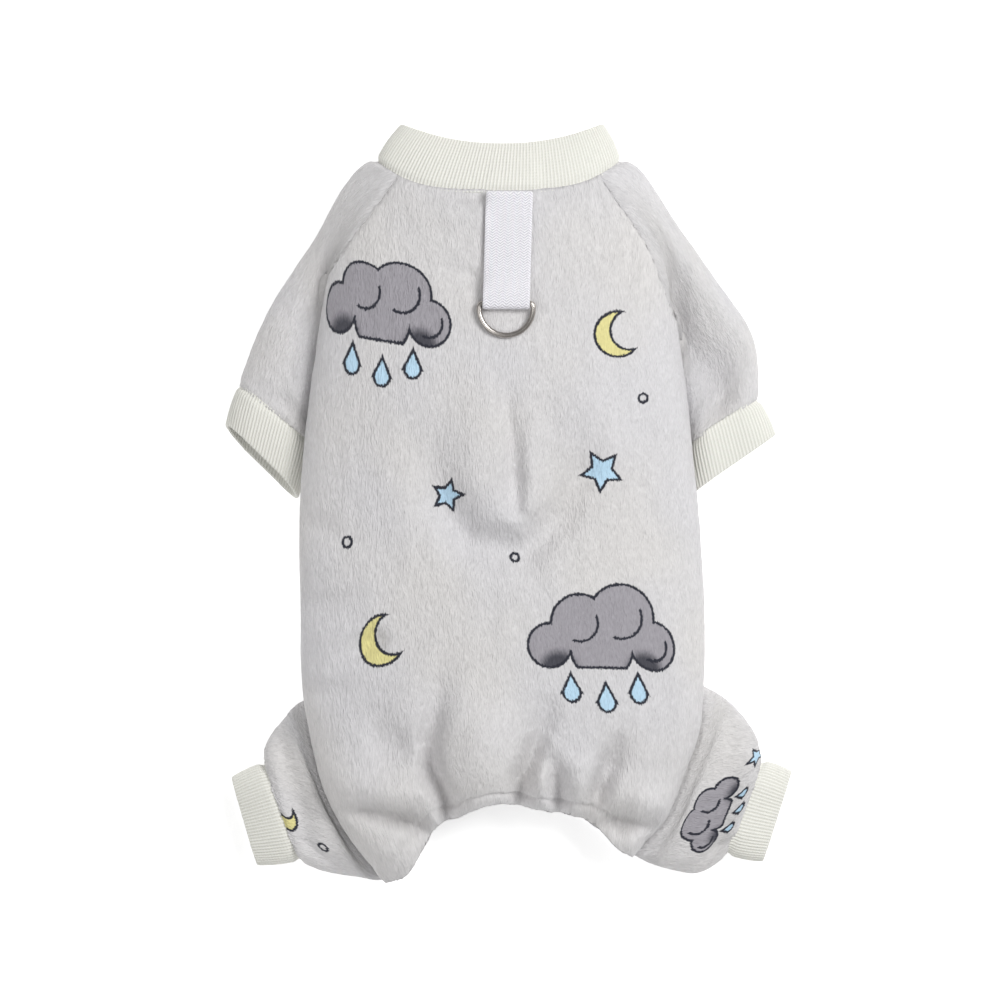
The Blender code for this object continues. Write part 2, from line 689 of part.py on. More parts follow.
def settle():
    """Moves every piece so that the origin is on the ground below the garment's middle."""
    bpy.context.view_layer.update()
    graph = bpy.context.evaluated_depsgraph_get()
    corners = []
    for piece in bpy.context.scene.objects:
        shape = piece.evaluated_get(graph)
        corners += [shape.matrix_world @ point.co for point in shape.to_mesh().vertices]
        shape.to_mesh_clear()
    corners = np.array(corners)
    low, high = corners.min(axis=0), corners.max(axis=0)
    shift = ((low[0] + high[0]) / 2, (low[1] + high[1]) / 2, low[2])
    for piece in bpy.context.scene.objects:
        piece.location.x -= shift[0]
        piece.location.y -= shift[1]
        piece.location.z -= shift[2]


for old in list(bpy.data.objects):
    bpy.data.objects.remove(old)

plush = material("plush", (0.72, 0.71, 0.73), 0.95)
rib_knit = material("rib_knit", (0.86, 0.86, 0.80), 0.9)
webbing = material("webbing", (0.84, 0.83, 0.87), 0.7)
nickel = material("nickel", (0.62, 0.58, 0.54), 0.25, metallic=1.0)

panel(
    "back_panel",
    BODY_STATIONS,
    back_edge(BODY_STATIONS),
    math.pi - back_edge(BODY_STATIONS),
    BACK_COLUMNS,
)
belly_stations = BODY_STATIONS[BODY_STATIONS <= BELLY_END]
panel(
    "belly_panel",
    belly_stations,
    math.pi - belly_edge(belly_stations),
    2 * math.pi + belly_edge(belly_stations),
    BELLY_COLUMNS,
)
for side_name, limb in SLEEVES.items():
    rows, out = limb_points("sleeve", side_name, limb)
    tube(f"sleeve_{side_name}", rows, rows, PLUSH_WALL, plush, out)
    rows = cuff_points(limb, SLEEVE_HEIGHT, FRONT_CUFF_HEIGHT)
    tube(f"front_cuff_{side_name}", ribbed(rows), rows, RIB_WALL, rib_knit)
for side_name, limb in LEGS.items():
    rows, out = limb_points("hind_leg", side_name, limb)
    tube(f"hind_leg_{side_name}", rows, rows, PLUSH_WALL, plush, out)
    rows = cuff_points(limb, LEG_HEIGHT, HIND_CUFF_HEIGHT)
    tube(f"hind_cuff_{side_name}", ribbed(rows), rows, RIB_WALL, rib_knit)
rows, out = collar_points()
tube("collar", ribbed(rows), rows, RIB_WALL, rib_knit, out)
build_tab(webbing)
build_ring(nickel)
settle()
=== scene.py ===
"""Plush jumpsuit for a small dog, laid on its belly: fleece panels, rib knit bands, and a webbing
tab that holds a D-ring. +Y points to the collar and +Z is up. Every length is in metres."""

import json
import math
from collections import namedtuple

import bpy
import numpy as np
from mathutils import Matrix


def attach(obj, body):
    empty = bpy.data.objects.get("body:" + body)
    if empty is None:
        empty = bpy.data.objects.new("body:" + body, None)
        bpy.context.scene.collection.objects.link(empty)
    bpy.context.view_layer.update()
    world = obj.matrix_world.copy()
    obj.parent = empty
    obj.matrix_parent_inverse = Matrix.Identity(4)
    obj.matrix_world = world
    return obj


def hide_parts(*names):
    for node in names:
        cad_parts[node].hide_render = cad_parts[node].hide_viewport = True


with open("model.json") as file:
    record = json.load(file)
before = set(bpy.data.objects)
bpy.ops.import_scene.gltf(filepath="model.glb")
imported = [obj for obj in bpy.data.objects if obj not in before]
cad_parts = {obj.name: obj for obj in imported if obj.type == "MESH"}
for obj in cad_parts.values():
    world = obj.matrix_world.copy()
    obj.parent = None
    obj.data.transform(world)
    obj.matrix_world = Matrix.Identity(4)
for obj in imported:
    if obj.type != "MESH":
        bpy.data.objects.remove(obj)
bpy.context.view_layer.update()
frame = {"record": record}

# ---------------------------------------------------------------------------------------------
# Back panel. One wide piece of short-pile fleece, 3 mm thick with its pile. It arches over the
# suit from flank to flank, its front edge is sewn to the collar and the raglan sleeves, and its
# rear edge is turned over an elastic, which gathers it into a big puff and deep creases.
# ---------------------------------------------------------------------------------------------
MM = 0.001
PLUSH_WALL = 3.0 * MM
SEAM_GAP = 0.6 * MM
LEFT_EDGE = 311 * MM
RIGHT_EDGE = 300 * MM
BODY_HALF_WIDTH = 90 * MM
BODY_HEIGHT = 56 * MM
NECK_DIP = 14 * MM
HEM_RISE = 30 * MM
BELLY_SINK = 4 * MM
BACK_ROUNDNESS = 2.2
UNDERSIDE_ROUNDNESS = 2.4
ARMPIT = 0.18
GROIN = 0.74
GROIN_ROUNDING = 0.10
BELLY_END = 0.90
RAGLAN_ANGLE = math.radians(37)
SIDE_SEAM_ANGLE = math.radians(-25)
LEG_TOP_ANGLE = math.radians(-7)
LEG_UNDER_ANGLE = math.radians(-62)
BODY_SECTIONS = (
    # station, left_along, left_out, right_along, right_out, top, side
    (0.00, 0.000, 0.633, 0.000, 0.542, 0.79, 0.39),
    (0.09, 0.078, 0.800, 0.115, 0.765, 0.88, 0.44),
    (0.18, 0.156, 0.862, 0.231, 0.806, 0.95, 0.47),
    (0.30, 0.300, 0.936, 0.340, 0.858, 1.00, 0.48),
    (0.42, 0.420, 0.982, 0.450, 0.893, 0.98, 0.48),
    (0.52, 0.520, 1.000, 0.540, 0.920, 0.96, 0.48),
    (0.64, 0.640, 0.991, 0.650, 0.940, 0.96, 0.48),
    (0.75, 0.752, 0.974, 0.755, 0.938, 0.95, 0.48),
    (0.82, 0.822, 0.928, 0.825, 0.915, 0.93, 0.48),
    (0.88, 0.882, 0.867, 0.885, 0.842, 0.89, 0.47),
    (0.94, 0.942, 0.752, 0.945, 0.759, 0.80, 0.43),
    (1.00, 1.000, 0.590, 1.000, 0.604, 0.60, 0.33),
)
HEM_LINE = (
    # across, rise
    (-1.00, 0.00),
    (-0.80, 0.13),
    (-0.59, 0.72),
    (-0.40, 0.87),
    (-0.08, 1.00),
    (0.24, 0.84),
    (0.51, 0.70),
    (0.70, 0.52),
    (0.88, 0.15),
    (1.00, 0.00),
)
BACK_FOLDS = (
    # x, down, to_x, to_down, width, height, to_height, in millimetres from the neck seam
    (-35.9, 104.7, -29.5, 132.7, 8.5, -1.5, -6.5),
    (-29.5, 132.7, -15.7, 150.3, 9.0, -6.5, -8.0),
    (-15.7, 150.3, 7.1, 154.2, 9.0, -8.0, -8.0),
    (7.1, 154.2, 23.0, 139.1, 8.0, -8.0, -7.0),
    (23.0, 139.1, 35.0, 111.2, 7.5, -7.0, -1.5),
    (-1.9, 78.9, 1.1, 104.7, 3.6, 0.0, -4.0),
    (1.1, 104.7, 2.4, 124.1, 3.8, -4.0, -6.5),
    (2.4, 124.1, 2.4, 137.8, 4.5, -6.5, -3.0),
    (10.1, 98.3, 8.0, 134.8, 5.0, 1.0, 3.0),
    (-11.4, 81.1, -13.1, 124.1, 8.0, 1.0, 2.6),
    (-3.7, 100.4, -3.7, 141.3, 13.0, 1.0, 3.0),
    (32.9, 83.2, 41.5, 109.0, 11.0, 1.0, 2.8),
    (-38.9, 1.1, -12.3, 3.7, 3.0, -0.6, -3.0),
    (-41.5, 9.7, -13.1, 13.1, 4.5, 0.5, 2.0),
    (15.7, 1.9, 37.2, 1.9, 3.0, -2.4, -0.4),
    (-31.2, 32.9, -14.8, 38.5, 4.5, -0.4, -3.4),
    (-90.5, 140.8, -70.3, 147.3, 4.5, -4.5, -0.5),
    (-90.5, 179.1, -66.0, 173.9, 4.5, -5.5, -0.6),
    (-74.2, 201.9, -57.0, 192.9, 5.0, -0.8, -4.6),
    (-87.9, 215.2, -67.3, 212.6, 4.5, -4.8, -0.5),
    (-90.5, 160.6, -67.3, 156.7, 6.5, 3.0, 0.5),
    (-89.7, 193.3, -71.6, 188.1, 5.5, 3.0, 0.6),
    (65.1, 159.7, 82.3, 152.0, 6.0, -0.4, -3.6),
    (-63.0, 216.5, -50.1, 238.0, 9.0, -0.8, -5.0),
    (-26.0, 199.3, -30.7, 220.8, 5.5, -0.3, -5.0),
    (-30.7, 220.8, -33.8, 235.9, 4.8, -5.0, -10.0),
    (-33.8, 235.9, -32.9, 249.6, 4.2, -10.0, -12.0),
    (-32.9, 249.6, -26.4, 262.5, 4.0, -12.0, -12.0),
    (-26.4, 262.5, -25.2, 275.4, 3.8, -12.0, -9.0),
    (-13.1, 232.4, -10.5, 257.4, 14.0, 8.0, 10.0),
    (17.8, 214.4, 14.4, 229.4, 5.5, -0.5, -6.0),
    (14.4, 229.4, 10.5, 241.0, 4.4, -6.0, -10.0),
    (10.5, 241.0, 5.4, 251.3, 4.0, -10.0, -12.0),
    (5.4, 251.3, 4.5, 266.8, 3.8, -12.0, -9.0),
    (14.0, 252.2, 14.4, 261.7, 5.0, 5.0, 7.0),
    (17.8, 240.2, 20.9, 250.9, 3.4, -0.5, -6.0),
    (20.9, 250.9, 22.1, 266.8, 3.2, -6.0, -8.0),
    (29.9, 247.9, 32.0, 260.8, 5.8, 5.0, 7.5),
    (48.8, 231.6, 44.1, 245.3, 5.0, -0.5, -9.0),
    (44.1, 245.3, 39.8, 255.6, 4.4, -9.0, -11.0),
    (39.8, 255.6, 31.6, 268.1, 4.2, -11.0, -9.0),
    (47.9, 259.9, 66.9, 264.2, 8.0, 5.0, 7.0),
    (38.5, 269.4, 53.1, 272.0, 3.6, -1.5, -8.0),
    (53.1, 272.0, 68.6, 274.1, 3.6, -8.0, -1.0),
    (44.5, 282.3, 63.0, 284.9, 7.0, 4.0, 4.0),
    (-70.3, 254.8, -35.9, 260.4, 9.0, 5.0, 8.0),
    (-73.3, 266.4, -59.6, 266.8, 3.4, -0.8, -7.0),
    (-59.6, 266.8, -44.5, 269.8, 3.6, -7.0, -10.0),
    (-44.5, 269.8, -28.6, 276.3, 3.8, -10.0, -8.0),
    (-64.7, 284.0, -44.5, 287.5, 10.0, 4.0, 5.0),
)


def through(table, column, at):
    """A smooth curve through one column of a table against its first column: a cubic between
    each two rows, with the slope at a row taken from its neighbours."""
    rows = np.asarray(table, float)
    x, y = rows[:, 0], rows[:, column]
    slope = np.gradient(y, x)
    i = np.clip(np.searchsorted(x, at, side="right") - 1, 0, len(x) - 2)
    span = x[i + 1] - x[i]
    t = np.clip((at - x[i]) / span, 0, 1)
    return (
        (2 * t**3 - 3 * t**2 + 1) * y[i]
        + (t**3 - 2 * t**2 + t) * span * slope[i]
        + (3 * t**2 - 2 * t**3) * y[i + 1]
        + (t**3 - t**2) * span * slope[i + 1]
    )


def round_section(angle, roundness):
    """Unit superellipse |a|^n + |b|^n = 1 at an angle from +X, where 2 is a circle."""
    c, s = np.cos(angle), np.sin(angle)
    reach = (np.abs(c) ** roundness + np.abs(s) ** roundness) ** (-1 / roundness)
    return reach * c, reach * s


def body_plan(station, across):
    """A body point seen from above: between the two edges by its share across, then drawn back
    at the neck by the dip and drawn forward at the hem by the gathers."""
    left = through(BODY_SECTIONS, 2, station) * BODY_HALF_WIDTH
    right = through(BODY_SECTIONS, 4, station) * BODY_HALF_WIDTH
    left_y = NECK_DIP - through(BODY_SECTIONS, 1, station) * LEFT_EDGE
    right_y = NECK_DIP - through(BODY_SECTIONS, 3, station) * RIGHT_EDGE
    x = (right - left) / 2 + (right + left) / 2 * across
    y = left_y + (right_y - left_y) * (1 + across) / 2
    y = y - NECK_DIP * (1 - np.abs(across) ** 3.4) * (1 - station) ** 4
    return x, y + HEM_RISE * through(HEM_LINE, 1, across) * station**4


def near_line(x, y, x0, y0, x1, y1):
    """The place on the straight line from (x0, y0) to (x1, y1) that is nearest to (x, y), as a
    share of its length, and the square of the distance to that place."""
    dx, dy = x1 - x0, y1 - y0
    t = np.clip(((x - x0) * dx + (y - y0) * dy) / (dx * dx + dy * dy), 0, 1)
    return t, (x - x0 - t * dx) ** 2 + (y - y0 - t * dy) ** 2


def fold_height(x, y):
    """Each fold is height * exp(-(distance to its line / width)^2), and its height changes
    evenly along the line. The highest ridge and the deepest crease at a point are added."""
    ridge = crease = np.zeros(np.broadcast(x, y).shape)
    for x0, down0, x1, down1, width, height, to_height in BACK_FOLDS:
        t, away = near_line(x, y, x0 * MM, -down0 * MM, x1 * MM, -down1 * MM)
        fold = (height + (to_height - height) * t) * MM * np.exp(-away / (width * MM) ** 2)
        ridge, crease = np.maximum(ridge, fold), np.minimum(crease, fold)
    return ridge + crease


def body(station, angle, folded=1.0):
    """Outer surface of the body. The angle is 0 at the right edge, 90 degrees on the back's
    middle line, 180 at the left edge and 270 below, where the body lies flat on the floor."""
    station, angle = np.broadcast_arrays(station, angle)
    roundness = np.where(np.sin(angle) > 0, BACK_ROUNDNESS, UNDERSIDE_ROUNDNESS)
    across, up = round_section(angle, roundness)
    x, y = body_plan(station, across)
    top = through(BODY_SECTIONS, 5, station) * BODY_HEIGHT
    side = through(BODY_SECTIONS, 6, station) * BODY_HEIGHT
    above = side + (top - side) * up + folded * fold_height(x, y) * np.clip(1.6 * up, 0, 1)
    below = side + (side + BELLY_SINK) * up
    return np.stack([x, y, np.where(up > 0, above, np.maximum(below, 0))], axis=-1)


def unit(vectors):
    """Each vector divided by its length."""
    return vectors / np.linalg.norm(vectors, axis=-1, keepdims=True)


def body_normal(station, angle):
    """The way out of the unfolded body: the cross product of the ways round and down, each
    taken over a few millimetres."""
    station, angle = np.broadcast_arrays(station, angle)
    after, before = np.clip(station + 0.01, 0, 1), np.clip(station - 0.01, 0, 1)
    down = body(after, angle, folded=0.0) - body(before, angle, folded=0.0)
    around = body(station, angle + 0.03, folded=0.0) - body(station, angle - 0.03, folded=0.0)
    return unit(np.cross(around, down))


def opening_share(station):
    """0 where the side seam parts at the groin, then a quarter circle up to 1."""
    t = np.clip((station - GROIN) / GROIN_ROUNDING, 0, 1)
    return np.sqrt(1 - (1 - t) ** 2)


def seam_angle(station, limb_angle):
    """The angle of the raglan seam, a quarter ellipse, and that of the side seam and the leg
    seam behind it, a square root that goes over into a quarter circle."""
    raglan = RAGLAN_ANGLE * np.sqrt(np.clip(1 - (station / ARMPIT) ** 2, 0, 1))
    side = SIDE_SEAM_ANGLE * np.clip((station - ARMPIT) / (GROIN - ARMPIT), 0, 1) ** 0.5
    return raglan, side + (limb_angle - SIDE_SEAM_ANGLE) * opening_share(station)


def back_edge(station):
    """The angle of the back panel's right edge."""
    raglan, side = seam_angle(station, LEG_TOP_ANGLE)
    return np.where(station < ARMPIT, raglan, side)


def quarter(steps):
    """Shares from 0 to 1 that bunch up towards 1, as even steps round a quarter circle do."""
    return np.sin(np.linspace(0, math.pi / 2, steps + 1))


RAGLAN_STATIONS = ARMPIT * quarter(64)
SIDE_STATIONS = np.linspace(ARMPIT, GROIN, 101)
GROIN_STATIONS = GROIN + GROIN_ROUNDING * (1 - quarter(32)[::-1])
REAR_STATIONS = np.linspace(GROIN + GROIN_ROUNDING, 1, 85)
LEG_STATIONS = np.concatenate([GROIN_STATIONS[:-1], REAR_STATIONS])
BODY_STATIONS = np.concatenate([RAGLAN_STATIONS[:-1], SIDE_STATIONS[:-1], LEG_STATIONS])
BACK_COLUMNS = 264
SEAM_ROLL = 1.8 * MM
SEAM_DROP = 0.85 * MM
SEAM_TIPS = 0.45 * MM
FLOOR_CLEARANCE = 0.2 * MM
HEM_CHANNEL = 6.2 * MM
HEM_LEAN = 1.3 * MM
HEM_LEAN_LENGTH = 4 * MM

# The suit's own measures start at the middle of the neck seam; home is that point's place.
RING_WIRE = 2.3 * MM
RING_CLEARANCE = 0.3 * MM
WEBBING_WALL = 1.2 * MM
TAB_WIDTH = 20 * MM
TAB_LENGTH = 51.6 * MM
TAB_START = 0.6 * MM
TAB_SLANT = 1.5 * MM
LOOP_RADIUS = RING_WIRE / 2 + RING_CLEARANCE + WEBBING_WALL / 2
BAR_DOWN = TAB_LENGTH - LOOP_RADIUS - WEBBING_WALL / 2
bar_place = np.array(frame["record"]["behaviour"]["joints"][0]["pos_m"])
home = np.array([bar_place[0] - TAB_START + TAB_SLANT * BAR_DOWN / TAB_LENGTH,
                 bar_place[1] + BAR_DOWN, 0])


def eased(t):
    """From 0 to 1 with a level start and end: 3t^2 - 2t^3."""
    return t * t * (3 - 2 * t)


def speckle(x, y, seed):
    """Random numbers from -1 to 1 at whole x and y, with an eased blend between them."""
    column, row = np.floor(x).astype(np.int64), np.floor(y).astype(np.int64)
    right, down = eased(x - column), eased(y - row)
    values = []
    for i, j in ((0, 0), (1, 0), (0, 1), (1, 1)):
        h = ((column + i) * 374761393 + (row + j) * 668265263 + seed * 974634777) & 0xFFFFFFFF
        h = ((h ^ (h >> 13)) * 1274126177) & 0xFFFFFFFF
        values.append(((h ^ (h >> 16)) & 0xFFFF) / 32767.5 - 1)
    above = values[0] * (1 - right) + values[1] * right
    below = values[2] * (1 - right) + values[3] * right
    return above * (1 - down) + below * down


def pile(u, v):
    """Height of the fleece's pile: small tufts that lie along v, on low swells."""
    tufts = 0.13 * MM * speckle(u / (1.9 * MM), v / (4.2 * MM), 1)
    locks = 0.16 * MM * speckle(u / (5 * MM) + 0.3 * v / MM / 9, v / (9 * MM), 2)
    return tufts + locks + 0.40 * MM * speckle(u / (21 * MM), v / (27 * MM), 3)


def outward(points, closed):
    """The way out of a grid of points: the cross product of its ways across and along."""
    if closed:
        around = np.roll(points, -1, axis=1) - np.roll(points, 1, axis=1)
    else:
        around = np.gradient(points, axis=1)
    return unit(np.cross(around, np.gradient(points, axis=0)))


def running_length(line):
    """The way along a line of points up to each of them."""
    return np.concatenate([[0], np.cumsum(np.linalg.norm(np.diff(line, axis=0), axis=-1))])


def cloth_places(points, closed):
    """Metres across and along the cloth: running sums of the steps between points, across from
    the middle column and along the middle column. A closed grid gets its first column again."""
    if closed:
        points = np.concatenate([points, points[:, :1]], axis=1)
    across = np.cumsum(np.linalg.norm(np.diff(points, axis=1), axis=-1), axis=1)
    across = np.concatenate([np.zeros((len(points), 1)), across], axis=1)
    middle = points.shape[1] // 2
    along = running_length(points[:, middle])[:, None] + np.zeros_like(across)
    return across - across[:, [middle]], along


def edge_distance(u, v, closed):
    """Distance from the nearest edge of a piece, from its cloth places."""
    ends = np.minimum(v - v[:1], v[-1:] - v)
    return ends if closed else np.minimum(ends, np.minimum(u - u[:, :1], u[:, -1:] - u))


def seamed(points, closed, relief):
    """The points moved out by the relief, which fades at the edges, and rolled in along the
    edges, where the pile closes over the seams. The underside stays just off the floor."""
    u, v = cloth_places(points, closed)
    if closed:
        u, v = u[:, :-1], v[:, :-1]
    edge = edge_distance(u, v, closed)
    near = np.exp(-((edge / SEAM_ROLL) ** 2))
    tips = SEAM_TIPS * speckle(u / MM, v / MM, 7)
    rise = relief * (1 - 0.5 * near) + near * (tips - SEAM_DROP)
    moved = points + outward(points, closed) * rise[..., None]
    moved[..., 2] = np.maximum(moved[..., 2], np.minimum(points[..., 2], FLOOR_CLEARANCE))
    return moved


def grid_faces(rows, columns, first, closed):
    """Four corners for each cell of a grid of points that starts at first."""
    i = np.arange(rows - 1)[:, None] * columns + first
    j = np.arange(columns if closed else columns - 1)
    beside = (j + 1) % columns
    return np.stack([i + j, i + beside, i + columns + beside, i + columns + j], -1).reshape(-1, 4)


def grid_corners(places):
    """The cloth places of the same corners, from a grid that isn't closed."""
    corners = (places[:-1, :-1], places[:-1, 1:], places[1:, 1:], places[1:, :-1])
    return np.stack(corners, axis=2).reshape(-1, 2)


def rim_faces(fine, coarse):
    """Triangles between a line of points and one with fewer: each step of the coarse line is
    joined to as many of the fine line's steps as fall to it."""
    step = (len(fine) - 1) // (len(coarse) - 1)
    t = np.arange(len(fine) - 1)
    nearest = coarse[t // step + (t % step >= (step + 1) // 2)]
    fans = np.stack([fine[t], fine[t + 1], nearest], axis=-1)
    m = np.arange(len(coarse) - 1)
    fillers = np.stack([fine[m * step + (step + 1) // 2], coarse[m + 1], coarse[m]], axis=-1)
    return np.concatenate([fans, fillers])


def piece_of(name, points, faces, corners, finish):
    """An object from arrays: points, faces of three or four corners, and the corners' places on
    the cloth, which become its UV map."""
    mesh = bpy.data.meshes.new(name)
    mesh.vertices.add(len(points))
    mesh.vertices.foreach_set("co", np.ascontiguousarray(points, np.float32).ravel())
    order = np.concatenate([part.ravel() for part in faces]).astype(np.int32)
    sizes = np.concatenate([np.full(len(part), part.shape[1]) for part in faces])
    mesh.loops.add(len(order))
    mesh.loops.foreach_set("vertex_index", order)
    mesh.polygons.add(len(sizes))
    mesh.polygons.foreach_set("loop_start", (np.cumsum(sizes) - sizes).astype(np.int32))
    mesh.update(calc_edges=True)
    layer = mesh.uv_layers.new(name="cloth")
    layer.data.foreach_set("uv", np.ascontiguousarray(corners, np.float32).ravel())
    mesh.shade_smooth()
    mesh.materials.append(finish.material)
    piece = bpy.data.objects.new(name, mesh)
    bpy.context.scene.collection.objects.link(piece)
    return piece


def cloth_wall(name, outer, inner, places, closed, finish):
    """A closed wall of cloth between a fine outer grid and a coarser inner one, joined along
    their edges. places: the outer grid's cloth places, with the first column again if closed."""
    rows, columns = outer.shape[:2]
    inner_rows, inner_columns = inner.shape[:2]
    whole = rows * columns
    outside = np.arange(whole).reshape(rows, columns)
    inside = whole + np.arange(inner_rows * inner_columns).reshape(inner_rows, inner_columns)
    step = (rows - 1) // (inner_rows - 1)
    sparse = places[::step, ::step]
    lining = grid_faces(inner_rows, inner_columns, whole, closed)[:, ::-1]
    lining_corners = grid_corners(sparse).reshape(-1, 4, 2)[:, ::-1].reshape(-1, 2)
    if closed:
        outside_round = np.concatenate([outside, outside[:, :1]], axis=1)
        inside_round = np.concatenate([inside, inside[:, :1]], axis=1)
    else:
        outside_round, inside_round = outside, inside
    rims = [rim_faces(outside_round[0], inside_round[0])[:, ::-1],
            rim_faces(outside_round[-1], inside_round[-1])]
    if not closed:
        rims.append(rim_faces(outside[:, 0], inside[:, 0]))
        rims.append(rim_faces(outside[:, -1], inside[:, -1])[:, ::-1])
    rims = np.concatenate(rims)
    flat = np.concatenate([places[:, :columns].reshape(-1, 2),
                           sparse[:, :inner_columns].reshape(-1, 2)])
    return piece_of(
        name,
        np.concatenate([outer.reshape(-1, 3), inner.reshape(-1, 3)]) + home,
        [grid_faces(rows, columns, 0, closed), lining, rims],
        np.concatenate([grid_corners(places), lining_corners, flat[rims.ravel()]]),
        finish,
    )


class Thread:
    """A socket of a finish. Python's operators on it add Math nodes."""

    def __init__(self, finish, socket):
        self.finish, self.socket = finish, socket

    def math(self, operation, *values):
        return self.finish.node("ShaderNodeMath", {"operation": operation}, dict(enumerate(values)))

    def __add__(self, other):
        return self.math("ADD", self, other)

    def __radd__(self, other):
        return self.math("ADD", other, self)

    def __sub__(self, other):
        return self.math("SUBTRACT", self, other)

    def __rsub__(self, other):
        return self.math("SUBTRACT", other, self)

    def __mul__(self, other):
        return self.math("MULTIPLY", self, other)

    def __rmul__(self, other):
        return self.math("MULTIPLY", other, self)

    def __abs__(self):
        return self.math("ABSOLUTE", self)

    def __neg__(self):
        return self.math("MULTIPLY", self, -1.0)

    def least(self, other):
        return self.math("MINIMUM", self, other)

    def most(self, other):
        return self.math("MAXIMUM", self, other)

    def below(self, limit, soft):
        """1 where the value is under the limit, 0 where it is over it, soft in between."""
        return self.finish.node(
            "ShaderNodeMapRange",
            {"interpolation_type": "SMOOTHSTEP"},
            {0: self, 1: limit - soft, 2: limit + soft, 3: 1.0, 4: 0.0},
        )


class Finish:
    """A material whose nodes are added by one method, round a Principled shader."""

    def __init__(self, name, roughness, **fixed):
        self.material = bpy.data.materials.new(name)
        self.material.use_nodes = True
        self.tree = self.material.node_tree
        self.shader = self.tree.nodes["Principled BSDF"]
        self.shader.inputs["Roughness"].default_value = roughness
        for socket, value in fixed.items():
            self.shader.inputs[socket.replace("_", " ")].default_value = value

    def node(self, kind, settings, inputs, output=0):
        """Adds a node: its settings first, then a value or a thread for each of its inputs."""
        made = self.tree.nodes.new(kind)
        for setting, value in settings.items():
            setattr(made, setting, value)
        for key, value in inputs.items():
            if isinstance(value, Thread):
                self.tree.links.new(value.socket, made.inputs[key])
            else:
                made.inputs[key].default_value = value
        return Thread(self, made.outputs[output])

    def noise(self, place, size, detail=2.0, output=0):
        """Noise whose grains measure size, in metres across and along the cloth."""
        scaled = self.vector("MULTIPLY", place, (1 / size[0], 1 / size[1], 1.0))
        inputs = {"Vector": scaled, "Scale": 1.0, "Detail": detail}
        return self.node("ShaderNodeTexNoise", {"noise_dimensions": "2D"}, inputs, output)

    def vector(self, operation, *values):
        return self.node("ShaderNodeVectorMath", {"operation": operation}, dict(enumerate(values)))

    def parts(self, place):
        """The x and the y of a place."""
        x = self.node("ShaderNodeSeparateXYZ", {}, {0: place})
        return x, Thread(self, x.socket.node.outputs[1])

    def distance(self, place, point):
        settings = {"operation": "DISTANCE"}
        return self.node("ShaderNodeVectorMath", settings, {0: place, 1: (*point, 0.0)}, 1)

    def blend(self, share, first, second):
        return self.node("ShaderNodeMix", {"data_type": "RGBA"}, {0: share, 6: first, 7: second}, 2)

    def dimmed(self, colour, share):
        return self.node("ShaderNodeVectorMath", {"operation": "SCALE"}, {0: colour, 3: share})

    def cloth_place(self):
        return self.node("ShaderNodeUVMap", {"uv_map": "cloth"}, {})

    def finished(self, colour, height, depth, strength=1.0):
        """Links the colour, and a bump whose whole height is depth metres."""
        self.tree.links.new(colour.socket, self.shader.inputs["Base Color"])
        inputs = {"Strength": strength, "Distance": depth, "Height": height}
        bump = self.node("ShaderNodeBump", {}, inputs)
        self.tree.links.new(bump.socket, self.shader.inputs["Normal"])


DROP_SLOPE = math.radians(28)
PUFFS = (
    # across, up, radius, as shares of the cloud's size
    (-0.36, -0.05, 0.15),
    (-0.15, 0.10, 0.20),
    (0.14, 0.14, 0.23),
    (0.36, -0.04, 0.16),
    (0.0, -0.06, 0.22),
)
CLOUD_FOOT = 0.20
RAIN = (
    # across, down, as shares of the cloud's size
    (-0.22, 0.37),
    (0.02, 0.43),
    (0.25, 0.36),
)
LINE_HALF = 0.60 * MM
WARM_FLEECE = (0.680, 0.665, 0.658, 1)
COOL_FLEECE = (0.662, 0.653, 0.668, 1)
CLOUD_GREY = (0.36, 0.345, 0.375, 1)
SHADOW_GREY = (0.070, 0.070, 0.085, 1)
LIGHT_BLUE = (0.50, 0.70, 0.86, 1)
MOON_YELLOW = (0.76, 0.70, 0.32, 1)
CHARCOAL = (0.028, 0.030, 0.042, 1)


def cloud(finish, place, x, y, size):
    """Distance to a cloud: the nearest of its puffs, cut off below by a flat foot."""
    nearest = nearest_of([
        finish.distance(place, (x + across * size, y + up * size)) - radius * size
        for across, up, radius in PUFFS
    ])
    return nearest.most((y - CLOUD_FOOT * size) - finish.parts(place)[1])


def curls(finish, place, x, y, size):
    """Distance to the lines inside a cloud: the lower right parts of smaller circles in it."""
    offset = finish.vector("SUBTRACT", place, (x, y, 0.0))
    parts = finish.parts(offset)
    lines = []
    for across, up, radius in PUFFS[1:4]:
        ring = abs(finish.distance(offset, (across * size, up * size)) - 0.62 * radius * size)
        corner = (across - up + 0.35 * radius) * size - (parts[0] - parts[1])
        lines.append(ring.most(corner))
    return nearest_of(lines)


def drop(finish, place, x, y, radius):
    """Distance to a raindrop: a circle, and above it the two straight lines that touch it."""
    across, up = finish.parts(finish.vector("SUBTRACT", place, (x, y, 0.0)))
    point = (abs(across) * math.cos(DROP_SLOPE) + up * math.sin(DROP_SLOPE) - radius).most(-up)
    return point.least(finish.distance(place, (x, y)) - radius)


def moon(finish, place, x, y, radius):
    """Distance to a crescent: inside one circle and outside a second beside it."""
    whole = finish.distance(place, (x, y)) - radius
    bite = finish.distance(place, (x + 0.55 * radius, y + 0.22 * radius)) - 0.86 * radius
    return whole.most(-bite)


